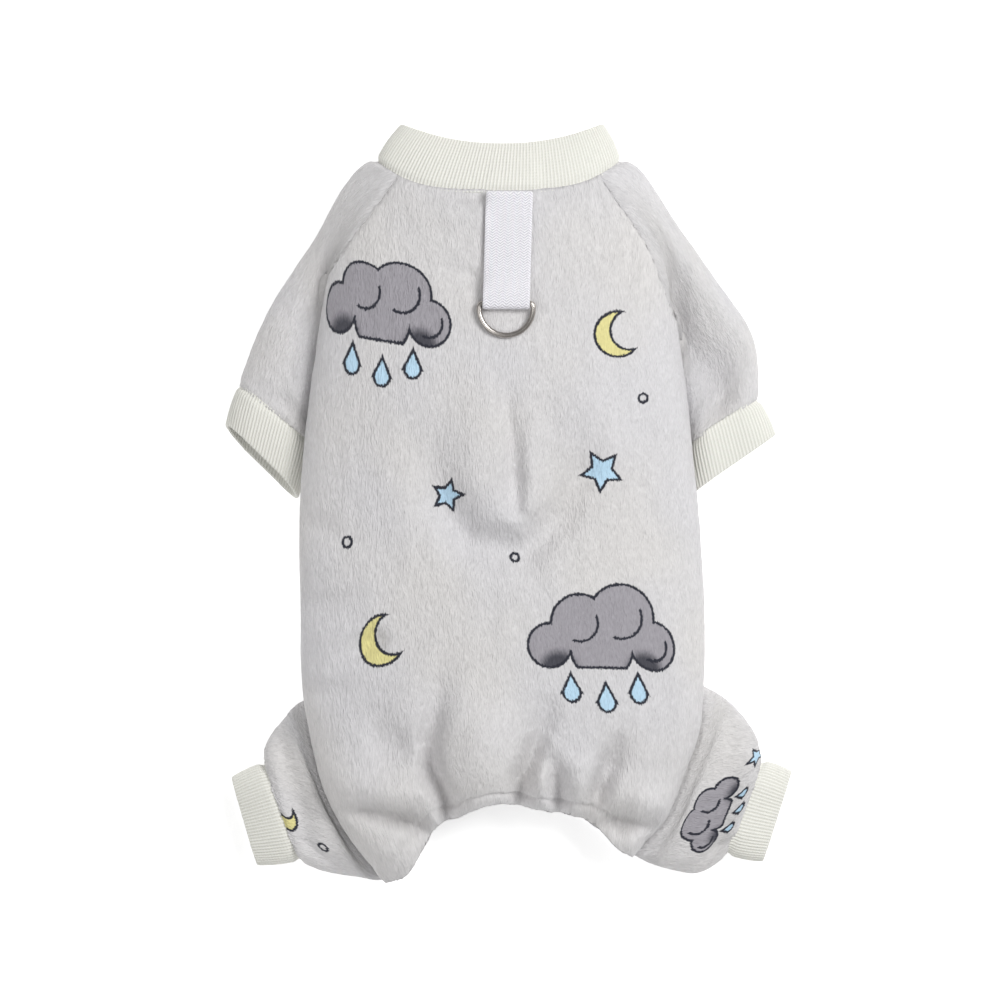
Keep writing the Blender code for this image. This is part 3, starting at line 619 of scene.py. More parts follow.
def star(finish, place, x, y, radius, turn):
    """Distance to a star of five points: the straight line from a tip to the next notch, in
    the tenth of a turn that the place folds into."""
    notch = 0.50 * radius
    tip_x, notch_x, notch_y = radius, notch * math.cos(math.pi / 5), notch * math.sin(math.pi / 5)
    side = math.hypot(tip_x - notch_x, notch_y)
    across, along = notch_y / side, (tip_x - notch_x) / side
    away = finish.distance(place, (x, y))
    parts = finish.parts(finish.vector("SUBTRACT", place, (x, y, 0.0)))
    angle = parts[1].math("ARCTAN2", parts[1], parts[0]) + (turn + 8 * math.pi)
    folded = angle.math("PINGPONG", angle, math.pi / 5)
    slant = folded.math("COSINE", folded) * across + folded.math("SINE", folded) * along
    return away * slant - across * tip_x


def nearest_of(distances):
    """The least of several distances."""
    found = distances[0]
    for other in distances[1:]:
        found = found.least(other)
    return found


def plush(name, clouds=(), moons=(), stars=(), dots=()):
    """Pale grey fleece with its pile and its print: grey clouds, yellow moons, blue stars and
    small rings, all outlined in charcoal. The print's places are in millimetres on the cloth."""
    finish = Finish(name, 0.92, Sheen_Weight=0.25, Sheen_Roughness=0.45, Specular_IOR_Level=0.2)
    place = finish.cloth_place()
    sway = finish.noise(place, (9 * MM, 14 * MM), 1.0, 1)
    swayed = finish.vector("MULTIPLY_ADD", sway, (2.4 * MM, 1.0 * MM, 0.0), place)
    strands = finish.noise(swayed, (0.42 * MM, 2.3 * MM), 1.5)
    locks = finish.noise(swayed, (1.3 * MM, 3.6 * MM), 2.0)
    tone = finish.noise(place, (52 * MM, 60 * MM), 1.0)
    colour = finish.blend(tone.below(0.50, 0.25), WARM_FLEECE, COOL_FLEECE)
    shade = strands * 0.30 + locks * 0.16 + 0.77
    ends = finish.noise(swayed, (0.6 * MM, 1.5 * MM), 2.0, 1)
    frayed = finish.vector("MULTIPLY_ADD", ends, (0.8 * MM, 1.7 * MM, 0.0), place)
    frayed = finish.vector("SUBTRACT", frayed, (0.4 * MM, 0.85 * MM, 0.0))
    lines = []
    if clouds:
        clouds = [(x * MM, y * MM, size * MM) for x, y, size in clouds]
        away = nearest_of([cloud(finish, frayed, x, y, size) for x, y, size in clouds])
        shadow = nearest_of([
            finish.distance(frayed, (x + across * size, y - 0.22 * size)) - 0.13 * size
            for x, y, size in clouds for across in (-0.30, 0.30)
        ])
        grey = finish.blend(shadow.below(0.0, 2.6 * MM), CLOUD_GREY, SHADOW_GREY)
        colour = finish.blend(away.below(0.0, 0.3 * MM), colour, grey)
        rain = nearest_of([
            drop(finish, frayed, x + across * size, y - down * size, 0.060 * size)
            for x, y, size in clouds for across, down in RAIN
        ])
        colour = finish.blend(rain.below(0.0, 0.3 * MM), colour, LIGHT_BLUE)
        lines += [abs(away), abs(rain)]
        lines += [curls(finish, frayed, x, y, size) for x, y, size in clouds]
    if moons:
        away = nearest_of([
            moon(finish, frayed, x * MM, y * MM, size * MM) for x, y, size in moons
        ])
        colour = finish.blend(away.below(0.0, 0.25 * MM), colour, MOON_YELLOW)
        lines.append(abs(away))
    if stars:
        away = nearest_of([
            star(finish, frayed, x * MM, y * MM, size * MM, turn) for x, y, size, turn in stars
        ])
        colour = finish.blend(away.below(0.0, 0.25 * MM), colour, LIGHT_BLUE)
        lines.append(abs(away))
    if dots:
        lines.append(nearest_of([
            abs(finish.distance(frayed, (x * MM, y * MM)) - size * MM) for x, y, size in dots
        ]))
    if lines:
        ink = nearest_of(lines).below(LINE_HALF, 0.25 * MM)
        colour = finish.blend(ink, colour, CHARCOAL)
    finish.finished(finish.dimmed(colour, shade), strands * 0.7 + locks, 0.75 * MM, 0.8)
    return finish


def hem_gathers(u, v):
    """Relief along the gathered hem: the elastic's channel is sewn down a little from the edge,
    and fine puckers run across it, fade out further up and are calmer at the very edge."""
    rear = v[-1:] - v
    stitched = -1.1 * MM * np.exp(-(((rear - HEM_CHANNEL) / (1.1 * MM)) ** 2))
    puckers = speckle(u / (3.1 * MM), rear / (15 * MM), 4)
    puckers = puckers + 0.6 * speckle(u / (1.7 * MM), rear / (8 * MM), 5)
    reach = np.exp(-((rear / (11 * MM)) ** 2)) - 0.8 * np.exp(-((rear / (2.5 * MM)) ** 2))
    sewn = np.clip(1.3 - np.abs(u) / (66 * MM), 0, 1)
    return (stitched + 0.75 * MM * puckers * reach) * sewn


share = np.linspace(0, 1, BACK_COLUMNS + 1)
edge = back_edge(BODY_STATIONS)[:, None]
angle = edge + (math.pi - 2 * edge) * share
outer = body(BODY_STATIONS[:, None], angle)
u, v = cloth_places(body(BODY_STATIONS[:, None], angle, folded=0.0), closed=False)
gathers = hem_gathers(u, v)
deep = (gathers - PLUSH_WALL)[..., None]
inner = (outer + body_normal(BODY_STATIONS[:, None], angle) * deep)[::2, ::2]
inner[..., 2] = np.maximum(inner[..., 2], PLUSH_WALL)
outer = seamed(outer, False, pile(u, v) + gathers)
outer[..., 1] -= HEM_LEAN * np.exp(-(((v[-1:] - v) / HEM_LEAN_LENGTH) ** 2))
back_plush = plush(
    "plush_back",
    clouds=((-52, -60, 58), (42, -192, 62)),
    moons=((50, -58, 10.0), (-52, -190, 10.0)),
    stars=((44, -120, 9.0, 0.4), (-22, -132, 6.5, 1.2)),
    dots=((62, -88, 2.0), (-66, -150, 2.0), (6, -158, 1.7)),
)
back = cloth_wall("back", outer, inner, np.stack([-u, -v], -1), False, back_plush)
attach(back, "suit")
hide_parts("back_panel")

# ---------------------------------------------------------------------------------------------
# Belly panel. The same fleece, cut narrower and shorter: it lies flat on the floor, its sides
# turn up to the side seams, and it ends in a plain turned edge in front of the rear opening.
# ---------------------------------------------------------------------------------------------
BELLY_COLUMNS = 120


def belly_edge(station):
    """The angle of the belly panel's right edge."""
    raglan, side = seam_angle(station, LEG_UNDER_ANGLE)
    return np.where(station < ARMPIT, -raglan, side)


belly_stations = BODY_STATIONS[BODY_STATIONS <= BELLY_END + 1e-9][::2]
belly_stations = belly_stations[: (len(belly_stations) - 1) // 4 * 4 + 1]
share = np.linspace(0, 1, BELLY_COLUMNS + 1)
edge = belly_edge(belly_stations)[:, None]
angle = math.pi - edge + (math.pi + 2 * edge) * share
outer = body(belly_stations[:, None], angle)
u, v = cloth_places(outer, closed=False)
inner = (outer - body_normal(belly_stations[:, None], angle) * PLUSH_WALL)[::4, ::4]
inner[..., 2] = np.maximum(inner[..., 2], PLUSH_WALL)
outer = seamed(outer, False, pile(u, v))
belly_plush = plush(
    "plush_belly",
    clouds=((10, -70, 50), (-24, -190, 46)),
    stars=((-30, -120, 8.0, 0.7), (34, -150, 7.0, 0.2)),
)
belly = cloth_wall("belly", outer, inner, np.stack([u, -v], -1), False, belly_plush)
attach(belly, "suit")
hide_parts("belly_panel")

# ---------------------------------------------------------------------------------------------
# Sleeves. Two raglan sleeves of the same fleece, flattened tubes that are sewn to the neck end
# of the body along a slanting seam and lie folded down beside it.
# ---------------------------------------------------------------------------------------------
Line = namedtuple("Line", "out down width turn")
Limb = namedtuple("Limb", "side seam opening lip")
SLEEVE_HEIGHT = 24 * MM
LIMB_ROUNDNESS = 2.3
LIMB_SINK = 1.0 * MM
SHOULDER = 9 * MM
SLEEVE_ROOT_SHARE = 0.35
LEG_ROOT_SHARE = 0.5
ROOT_CORNER = math.radians(30)
ROOT_STRAIGHT = 0.75
SEAM_FOLLOWS = 0.7
SEAM_LEAVES = -0.3
SLEEVES = {
    "left": Limb(
        -1,
        Line(101.1 * MM, 94.8 * MM, 39.6 * MM, 37.7),
        Line(106.7 * MM, 116.0 * MM, 44.7 * MM, 44.3),
        4.0 * MM,
    ),
    "right": Limb(
        1,
        Line(93.0 * MM, 98.7 * MM, 37.0 * MM, 32.3),
        Line(97.9 * MM, 117.0 * MM, 44.7 * MM, 34.5),
        0.0 * MM,
    ),
}
LIMB_BULGES = {
    # along, far, near
    "sleeve_left": (
        (0.00, 0.000, 0.000),
        (0.16, 0.060, -0.035),
        (0.34, 0.045, 0.040),
        (0.70, 0.054, 0.020),
        (1.00, 0.000, 0.000),
    ),
    "sleeve_right": (
        (0.00, 0.000, 0.000),
        (0.10, 0.070, 0.000),
        (0.24, 0.060, 0.020),
        (0.50, 0.080, 0.045),
        (0.82, 0.090, 0.020),
        (1.00, 0.000, 0.000),
    ),
    "hind_leg_left": (
        (0.00, 0.000, 0.000),
        (0.30, 0.060, 0.090),
        (0.60, 0.080, 0.130),
        (0.85, 0.050, 0.100),
        (1.00, 0.000, 0.000),
    ),
    "hind_leg_right": (
        (0.00, 0.000, 0.000),
        (0.25, 0.120, 0.090),
        (0.50, 0.180, 0.130),
        (0.80, 0.170, 0.100),
        (1.00, 0.000, 0.000),
    ),
}
LIMB_DENTS = {
    # along, angle, to_along, to_angle, width, height
    "sleeve_left": (
        (0.30, 120, 0.62, 60, 6.0 * MM, -1.6 * MM),
        (0.60, 150, 0.85, 110, 6.0 * MM, 1.2 * MM),
        (0.88, 140, 0.97, 60, 4.0 * MM, -0.9 * MM),
    ),
    "sleeve_right": (
        (0.36, 115, 0.88, 95, 10.0 * MM, -7.0 * MM),
        (0.20, 60, 0.80, 45, 5.0 * MM, 2.0 * MM),
        (0.14, 110, 0.26, 70, 5.0 * MM, 1.6 * MM),
    ),
    "hind_leg_left": (
        (0.55, 150, 0.80, 60, 6.0 * MM, -1.8 * MM),
        (0.80, 120, 0.95, 40, 5.0 * MM, 1.2 * MM),
        (0.60, 30, 0.90, 60, 5.0 * MM, -1.4 * MM),
    ),
    "hind_leg_right": (
        (0.50, 140, 0.85, 50, 8.0 * MM, -2.2 * MM),
        (0.85, 130, 0.95, 60, 5.0 * MM, 1.0 * MM),
        (0.60, 20, 0.85, 50, 5.0 * MM, -1.2 * MM),
    ),
}
LIMB_COLUMNS = 256
LIMB_ROWS = 112
ROOT_END_POINTS = 59
LIMB_SMOOTHINGS = 60
LINING_SMOOTHINGS = 8
ROOT_WALL = 0.35


def limb_section(x0, y0, x1, y1, angle, height):
    """A flattened tube's section, a superellipse that the floor cuts off, in the upright plane
    from (x0, y0), at angle 0, to (x1, y1)."""
    across, up = round_section(angle, LIMB_ROUNDNESS)
    x = (x0 + x1) / 2 + (x0 - x1) / 2 * across
    y = (y0 + y1) / 2 + (y0 - y1) / 2 * across
    z = height / 2 + (height / 2 + LIMB_SINK) * up
    return np.stack([x, y, np.clip(z, 0, height)], axis=-1)


def line_ends(line, side):
    """Both ends of a line across a limb, seen from above: the outer one, then the inner one."""
    turn = math.radians(line.turn)
    dx, dy = math.cos(turn) * line.width / 2, math.sin(turn) * line.width / 2
    outer_end = (side * (line.out + dx), -line.down + dy)
    inner_end = (side * (line.out - dx), -line.down - dy)
    return np.array(outer_end), np.array(inner_end)


def mirrored(angle, side):
    """An angle on the body's right half, or the one across from it on the left half."""
    return angle if side > 0 else math.pi - angle


def evenly(line, last, count):
    """A closed line of rows with its points at even distances, by straight interpolation of
    every column. last is the row that closes it."""
    closed_line = np.concatenate([line, last[None]])
    way = running_length(closed_line[:, :3])
    at = np.linspace(0, way[-1], count, endpoint=False)
    return np.stack([np.interp(at, way, column) for column in closed_line.T], axis=-1)


def side_angle(points):
    """Angles from 180 degrees to the corner's along one side of a root line. They go mostly
    with the straight way between its ends, seen from above, so that a limb runs straight out,
    and a little with the way along it, so that no two are alike."""
    chord = points[-1, :2] - points[0, :2]
    ahead = (points[:, :2] - points[0, :2]) @ chord / (chord @ chord)
    ahead = np.maximum.accumulate(np.clip(ahead, 0, 1))
    straight = np.arccos(ahead * (1 + math.cos(ROOT_CORNER)) - 1)
    way = running_length(points)
    even = math.pi + (ROOT_CORNER - math.pi) * way / way[-1]
    return ROOT_STRAIGHT * straight + (1 - ROOT_STRAIGHT) * even


def root_of(kind, side):
    """The closed line on the body that a limb is sewn to: its points, the way out of the body,
    and an angle: 180 degrees at the armpit or groin, 90 above, 0 at the far end, -90 below."""
    stations = RAGLAN_STATIONS[::-1] if kind == "sleeve" else LEG_STATIONS
    upper, lower = back_edge(stations), belly_edge(stations)
    if kind == "sleeve":
        upper[0], lower[0] = 0.0, 0.0
    across_end = np.linspace(upper[-1], lower[-1], ROOT_END_POINTS + 2)[1:-1]
    station = np.concatenate([stations, np.full(ROOT_END_POINTS, stations[-1]), stations[:0:-1]])
    place = mirrored(np.concatenate([upper, across_end, lower[:0:-1]]), side)
    line = body(station, place)
    end_angle = np.linspace(ROOT_CORNER, -ROOT_CORNER, ROOT_END_POINTS + 2)[1:-1]
    lower_side = np.concatenate([line[:1], line[:-len(stations):-1]])
    angle = np.concatenate([
        side_angle(line[:len(stations)]), end_angle, -side_angle(lower_side)[:0:-1]])
    rows = np.concatenate([line, body_normal(station, place), angle[:, None]], axis=1)
    closing = rows[0].copy()
    closing[6] = -math.pi
    rows = evenly(rows, closing, LIMB_COLUMNS)
    return rows[:, :3], unit(rows[:, 3:6]), rows[:, 6]


def bulged(start, end, share, bulge, other_side):
    """A point on the line from start to end, moved away from other_side by a share of it."""
    along = end - start
    sideways = np.array([along[1], -along[0]])
    if np.dot(sideways, other_side - start) > 0:
        sideways = -sideways
    return start + along * share + sideways * bulge


def limb_points(kind, side_name, limb):
    """Outer surface of a limb: its root line on the body goes over into flattened sections,
    eased over the root's share of the length, with dents that are Gaussian about their lines.
    Also the way out of the body along the root."""
    root, out, angle = root_of(kind, limb.side)
    outer_end, inner_end = line_ends(limb.seam, limb.side)
    far_end, near_end = (outer_end, inner_end) if kind == "sleeve" else (inner_end, outer_end)
    height = SLEEVE_HEIGHT if kind == "sleeve" else LEG_HEIGHT
    root_share = SLEEVE_ROOT_SHARE if kind == "sleeve" else LEG_ROOT_SHARE
    bulges = LIMB_BULGES[f"{kind}_{side_name}"]
    far_start, near_start = root[np.argmin(np.abs(angle))][:2], root[0][:2]
    across = (far_start - near_start) / np.linalg.norm(far_start - near_start)
    sideways = np.array([across[1], -across[0]]) * np.sign(across[1] * limb.side)
    rows = []
    shares = np.linspace(0, 1, LIMB_ROWS + 1)
    for share in shares:
        far = bulged(far_start, far_end, share, through(bulges, 1, share), near_end)
        near = bulged(near_start, near_end, share, through(bulges, 2, share), far_end)
        t = min(share / root_share, 1)
        carried = root.copy()
        if kind == "sleeve":
            carried[:, :2] += sideways * SHOULDER * t * (1 + np.cos(angle[:, None])) / 2
        else:
            carried[:, :2] += (far + near) / 2 - (far_start + near_start) / 2
        weight = eased(t)
        rows.append(carried * (1 - weight) + limb_section(*far, *near, angle, height) * weight)
    rows = np.array(rows)
    for _ in range(LIMB_SMOOTHINGS):
        beside = (np.roll(rows, 1, axis=1) + np.roll(rows, -1, axis=1))[1:-1] / 2
        rows[1:-1] = (rows[1:-1] * 2 + beside + (rows[:-2] + rows[2:]) / 2) / 4
    length = np.linalg.norm(np.diff(rows, axis=0), axis=-1).sum(axis=0).mean()
    radius = np.linalg.norm(np.diff(rows, axis=1), axis=-1).sum(axis=1).mean() / (2 * math.pi)
    a, b = shares[:, None] * length, angle[None, :] * radius
    dents = np.zeros(rows.shape[:2])
    for share_0, angle_0, share_1, angle_1, width, depth in LIMB_DENTS[f"{kind}_{side_name}"]:
        b0, b1 = math.radians(angle_0) * radius, math.radians(angle_1) * radius
        away = near_line(a, b, share_0 * length, b0, share_1 * length, b1)[1]
        dents += depth * np.exp(-away / width**2)
    if (kind == "sleeve") == (limb.side > 0):
        rows, out, dents = rows[:, ::-1], out[::-1], dents[:, ::-1]
    return rows + outward(rows, True) * dents[..., None], out


def inside_tube(rows, wall, seam_out):
    """The inner face of a tube's wall, square to its outer face, on average over a few points.
    The wall thins to a share of itself over the fifth of the tube at the seam. Its first row
    follows the way out of the body on an open seam, and its last row stays in its own upright
    plane."""
    around = np.roll(rows, -1, axis=1) - np.roll(rows, 1, axis=1)
    along = np.gradient(rows, axis=0)
    spread = rows[-1] - rows[-1].mean(axis=0)
    square = np.cross(spread, np.roll(spread, -1, axis=0)).sum(axis=0)
    along[-1] = square * np.sign(np.sum(square * along[-1].mean(axis=0)))
    out = unit(np.cross(around, along))
    for _ in range(LINING_SMOOTHINGS):
        beside = (np.roll(out, 1, axis=1) + np.roll(out, -1, axis=1))[:-1]
        above = np.concatenate([out[:1], out[:-2]])
        out[:-1] = unit(out[:-1] * 2 + beside + above + out[1:])
    alike = np.sum(out[0] * seam_out, axis=-1, keepdims=True)
    own = np.clip((SEAM_FOLLOWS - alike) / (SEAM_FOLLOWS - SEAM_LEAVES), 0, 1)
    out[0] = unit(seam_out * (1 - own) + out[0] * own)
    thick = wall * (ROOT_WALL + (1 - ROOT_WALL) * np.clip(np.linspace(0, 5, len(rows)), 0, 1))
    inner_face = rows - out * thick[:, None, None]
    inner_face[..., 2] = np.maximum(inner_face[..., 2], thick[:, None])
    return inner_face


def plush_limb(kind, side_name, limb, finish):
    """A sleeve or a leg: pile on its outer face, and a plain lining face."""
    rows, out = limb_points(kind, side_name, limb)
    u, v = cloth_places(rows, closed=True)
    lining = inside_tube(rows[::4, ::4], PLUSH_WALL, out[::4])
    outer_face = seamed(rows, True, pile(u, v)[:, :-1])
    piece = cloth_wall(
        f"{kind}_{side_name}_plush", outer_face, lining, np.stack([u, -v], -1), True, finish
    )
    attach(piece, "suit")
    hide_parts(f"{kind}_{side_name}")


left_sleeve_plush = plush(
    "plush_sleeve_left",
    clouds=((30, -62, 40),),
    stars=((60, -40, 6.5, 0.5), (-50, -60, 7.0, 0.3)),
)
right_sleeve_plush = plush(
    "plush_sleeve_right",
    moons=((-40, -48, 10.0),),
    stars=((-20, -78, 6.0, 0.9),),
    dots=((-62, -30, 2.0),),
)
for side_name, finish in (("left", left_sleeve_plush), ("right", right_sleeve_plush)):
    limb = SLEEVES[side_name]
    plush_limb("sleeve", side_name, limb, finish)

# ---------------------------------------------------------------------------------------------
# Front cuffs. Bands of cream rib knit, doubled over so that the free edge is a soft fold, and
# sewn to the sleeves. The ribs run along the limb. The left one gapes a little towards the eye.
# ---------------------------------------------------------------------------------------------
RIB_WALL = 2.0 * MM
WALE = 1.6 * MM
WALE_COLUMNS = 6
WALE_DEPTH = 0.38 * MM
STITCH = 1.1 * MM
BAND_START = 0.9 * MM
BAND_SINK = 1.1 * MM
BAND_SINK_LENGTH = 1.6 * MM
FLAT_SHARE = 0.86
FRONT_CUFF_HEIGHT = 20 * MM
RIB_CREAM = (0.850, 0.848, 0.800, 1)
# Painted shade: the colour of the furrows between the ribs.
FURROW_PAINTED_SHADE_CREAM = (0.705, 0.700, 0.640, 1)


def rib_knit(name):
    """Cream rib knit: the furrows between the ribs are painted a little darker, as painted shade
    over the ribs' relief, and each rib is a row of small stitches."""
    finish = Finish(name, 0.88, Sheen_Weight=0.15, Specular_IOR_Level=0.25)
    place = finish.cloth_place()
    across, along = finish.parts(place)
    rib = across.math("COSINE", across * (2 * math.pi)) * 0.5 + 0.5
    rows = along * (2 * math.pi / STITCH) + abs(rib - 0.5) * 5.0
    stitch = along.math("SINE", rows) * 0.5 + 0.5
    real = finish.vector("MULTIPLY", place, (WALE, 1.0, 0.0))
    fuzz = finish.noise(real, (0.5 * MM, 0.7 * MM), 3.0)
    # Painted shade: the furrows between the ribs are darkened in the colour.
    colour = finish.blend(rib, FURROW_PAINTED_SHADE_CREAM, RIB_CREAM)
    colour = finish.dimmed(colour, fuzz * 0.10 + stitch * 0.04 + 0.92)
    finish.finished(colour, stitch * 0.35 + fuzz * 0.65, 0.22 * MM, 0.7)
    return finish


def rib_band(name, seam, edge, seam_out, finish, rows_out=26, bow=0.6 * MM):
    """A doubled band of rib knit from its seam line to its folded edge: the outer face, half a
    circle over the fold, and the inner face. It starts a little under the plush and sinks in at
    the seam. The ribs are cosines round the band. seam_out: the way out of the body along the
    seam, or None where the band is sewn to a tube."""
    plain = np.array([seam, edge])
    out = outward(plain, True)
    first_out = out[0] if seam_out is None else seam_out
    depth_along = np.linalg.norm(edge - seam, axis=-1).mean()
    fold = RIB_WALL / 2
    turn = np.linspace(0, math.pi, 9)
    straight = np.linspace(-BAND_START, depth_along - fold, rows_out)
    back_again = straight[-2::-2]
    way = np.concatenate([straight[:-1], depth_along - fold + fold * np.sin(turn), back_again])
    deep = np.concatenate(
        [np.zeros(rows_out - 1), fold - fold * np.cos(turn), np.full(len(back_again), RIB_WALL)])
    t = (way / depth_along)[:, None, None]
    wale = 0.5 + 0.5 * np.cos(2 * math.pi * np.arange(len(seam)) / WALE_COLUMNS)
    outer_side = np.cos(np.pi * deep / RIB_WALL)[:, None]
    sunk = deep[:, None] + WALE_DEPTH * (1 - wale) * outer_side
    sunk = sunk - bow * np.sin(np.pi * np.clip(way / depth_along, 0, 1))[:, None]
    at_seam = np.exp(-((way / BAND_SINK_LENGTH) ** 2))[:, None]
    sunk = sunk + BAND_SINK * at_seam * np.clip(outer_side, 0, 1)
    facing = unit(first_out * (1 - t) + out[1] * t)
    points = seam * (1 - t) + edge * t - facing * sunk[..., None]
    points[..., 2] = np.maximum(points[..., 2], 0)
    columns = len(seam)
    u = np.arange(columns + 1) / WALE_COLUMNS + np.zeros((len(way), 1))
    v = running_length(points[:, 0])[:, None]
    places = np.stack([u, -v + np.zeros_like(u)], axis=-1)
    faces = grid_faces(len(way), columns, 0, True)
    first, last = np.arange(columns), (len(way) - 1) * columns + np.arange(columns)
    rim = np.stack([np.roll(first, -1), first, last, np.roll(last, -1)], axis=-1)
    flat = places[:, :-1].reshape(-1, 2)
    corners = np.concatenate([grid_corners(places), flat[rim.ravel()]])
    piece = piece_of(name, points.reshape(-1, 3) + home, [faces, rim], corners, finish)
    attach(piece, "suit")
    return piece


def cuff(kind, side_name, limb, start_height, end_height, finish):
    """A cuff between the limb's last section and its own opening, each evenly divided. Its way
    round, which sets the number of ribs, is a share of that of the box about it."""
    around = 2 * (limb.seam.width + start_height) * FLAT_SHARE
    columns = WALE_COLUMNS * int(around / WALE)
    angle = np.linspace(0, 2 * math.pi, 720, endpoint=False)
    ends = []
    for line, height in ((limb.seam, start_height), (limb.opening, end_height)):
        outer_end, inner_end = line_ends(line, limb.side)
        section = limb_section(*outer_end, *inner_end, angle, height)
        ends.append(evenly(section, section[0], columns))
    seam, opening = ends
    way = unit((opening - seam).mean(axis=0) * (1, 1, 0))
    opening = opening + way * limb.lip * (0.5 - opening[:, 2:] / end_height)
    if limb.side < 0:
        seam, opening = seam[::-1], opening[::-1]
    piece = rib_band(f"{kind}_{side_name}_band", seam, opening, None, finish)
    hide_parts(f"{kind}_{side_name}")


cream_knit = rib_knit("cream_rib_knit")
for side_name, flat in (("left", (0.110, 0.022)), ("right", (0.105, 0.020))):
    limb = SLEEVES[side_name]
    cuff("front_cuff", side_name, limb, SLEEVE_HEIGHT, FRONT_CUFF_HEIGHT, cream_knit)

# ---------------------------------------------------------------------------------------------
# Hind legs. Short tubes of fleece let into the rear corners of the body. They come out from
# under the back panel's edge, which folds over their roots.
# ---------------------------------------------------------------------------------------------
LEG_HEIGHT = 24 * MM
LEGS = {
    "left": Limb(
        -1,
        Line(98.1 * MM, 267.5 * MM, 45.5 * MM, 69.3),
        Line(114.6 * MM, 271.8 * MM, 39.9 * MM, 73.7),
        0.0 * MM,
    ),
    "right": Limb(
        1,
        Line(102.6 * MM, 265.7 * MM, 43.7 * MM, 69.2),
        Line(117.0 * MM, 269.7 * MM, 41.3 * MM, 72.4),
        0.0 * MM,
    ),
}
left_leg_plush = plush("plush_leg_left", moons=((34, -52, 9.0),), dots=((20, -36, 1.8),))
right_leg_plush = plush(
    "plush_leg_right", clouds=((-34, -40, 34),), stars=((-60, -52, 6.0, 0.2),))
for side_name, finish in (("left", left_leg_plush), ("right", right_leg_plush)):
    limb = LEGS[side_name]
    plush_limb("hind_leg", side_name, limb, finish)

# ---------------------------------------------------------------------------------------------
# Hind cuffs. The same doubled rib knit as the front cuffs, a little narrower and lying flatter.
# ---------------------------------------------------------------------------------------------
HIND_CUFF_HEIGHT = 17 * MM
for side_name, flat in (("left", (0.108, 0.018)), ("right", (0.105, 0.016))):
    limb = LEGS[side_name]
    cuff("hind_cuff", side_name, limb, LEG_HEIGHT, HIND_CUFF_HEIGHT, cream_knit)

# ---------------------------------------------------------------------------------------------
# Collar. A wider doubled band of the rib knit, sewn round the neck seam. It stands forward off
# the body, narrows towards its folded edge, and its ribs fan out at both sides.
# ---------------------------------------------------------------------------------------------
COLLAR_DEPTH = 20.6 * MM
COLLAR_TOP_WIDTH = 87 * MM
COLLAR_TOP_HEIGHT = 38 * MM
COLLAR_TOP_DIP = 9.5 * MM
COLLAR_SHIFT = 2.5 * MM
fine = np.linspace(0, 2 * math.pi, 1440, endpoint=False)
neck = np.concatenate([body(0.0, fine), body_normal(0.0, fine)], axis=-1)
across, up = round_section(fine, BACK_ROUNDNESS)
top = np.stack(
    [
        across * COLLAR_TOP_WIDTH / 2 - COLLAR_SHIFT,
        COLLAR_DEPTH + COLLAR_TOP_DIP * np.abs(across) ** 2.2,
        COLLAR_TOP_HEIGHT / 2 * (1 + up),
    ],
    axis=-1,
)
columns = WALE_COLUMNS * int(np.linalg.norm(np.diff(neck[:, :3], axis=0), axis=1).sum() / WALE)
neck = evenly(neck, neck[0], columns)[::-1]
top = evenly(top, top[0], columns)[::-1]
collar = rib_band("collar_band", neck[:, :3], top, neck[:, 3:], cream_knit, 34, 0.9 * MM)
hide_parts("collar")

# ---------------------------------------------------------------------------------------------
# Webbing tab. A strap of cool white herringbone webbing, 20 mm wide and 1.2 mm thick, caught in
# the neck seam. It runs down the back, round the ring's bar, and back up over itself.
# ---------------------------------------------------------------------------------------------
TAB_LIFT = 0.4 * MM
TAB_PLY_GAP = 0.4 * MM
TAB_TAPER = 12 * MM
RING_WIDTH = 25.2 * MM
LOWER_PLY = TAB_LIFT + WEBBING_WALL / 2
UPPER_PLY = LOWER_PLY + WEBBING_WALL + TAB_PLY_GAP
BAR_LIFT = LOWER_PLY + LOOP_RADIUS
CHEVRON = 3.4 * MM
CHEVRON_RISE = 1.25 * MM
PICK = 1.15 * MM
YARN = 0.16 * MM
SELVEDGE = 0.9 * MM
SELVEDGE_DROP = 0.35 * MM
COOL_WHITE = (0.900, 0.890, 0.930, 1)
# Painted shade: the colour of the furrows between the yarns.
PAINTED_SHADE_BETWEEN_YARNS = (0.640, 0.625, 0.690, 1)


def on_back(distance, x):
    """The place on the back at a distance from the neck seam and an x, as seen from above."""
    stations = np.linspace(0, 1, 401)
    station = np.interp(distance, -body_plan(stations, 0.0)[1], stations)
    right, left = body_plan(station, 1.0)[0], body_plan(station, -1.0)[0]
    across = (x - (right + left) / 2) / ((right - left) / 2)
    up = (1 - np.abs(across) ** BACK_ROUNDNESS) ** (1 / BACK_ROUNDNESS)
    return body(station, np.arctan2(up, across))


def tab_middle(distance):
    """The x of the strap's middle line, which slants a little."""
    return TAB_START - TAB_SLANT * distance / TAB_LENGTH


def bar_base():
    """Height of the back under the bar: its highest place below the loop of webbing."""
    down = BAR_DOWN + np.linspace(-2, 2, 9)[:, None] * LOOP_RADIUS
    across = tab_middle(BAR_DOWN) + np.linspace(-0.5, 0.5, 9) * RING_WIDTH
    return on_back(down, across)[..., 2].max()


def under_tab(down, x):
    """What the webbing lies on: the back, and level with the bar where it turns round it."""
    place = on_back(down, x)
    level = eased(np.clip((down - BAR_DOWN + LOOP_RADIUS + TAB_TAPER) / TAB_TAPER, 0, 1))
    place[..., 1] = -down
    place[..., 2] = place[..., 2] * (1 - level) + bar_base() * level
    return place


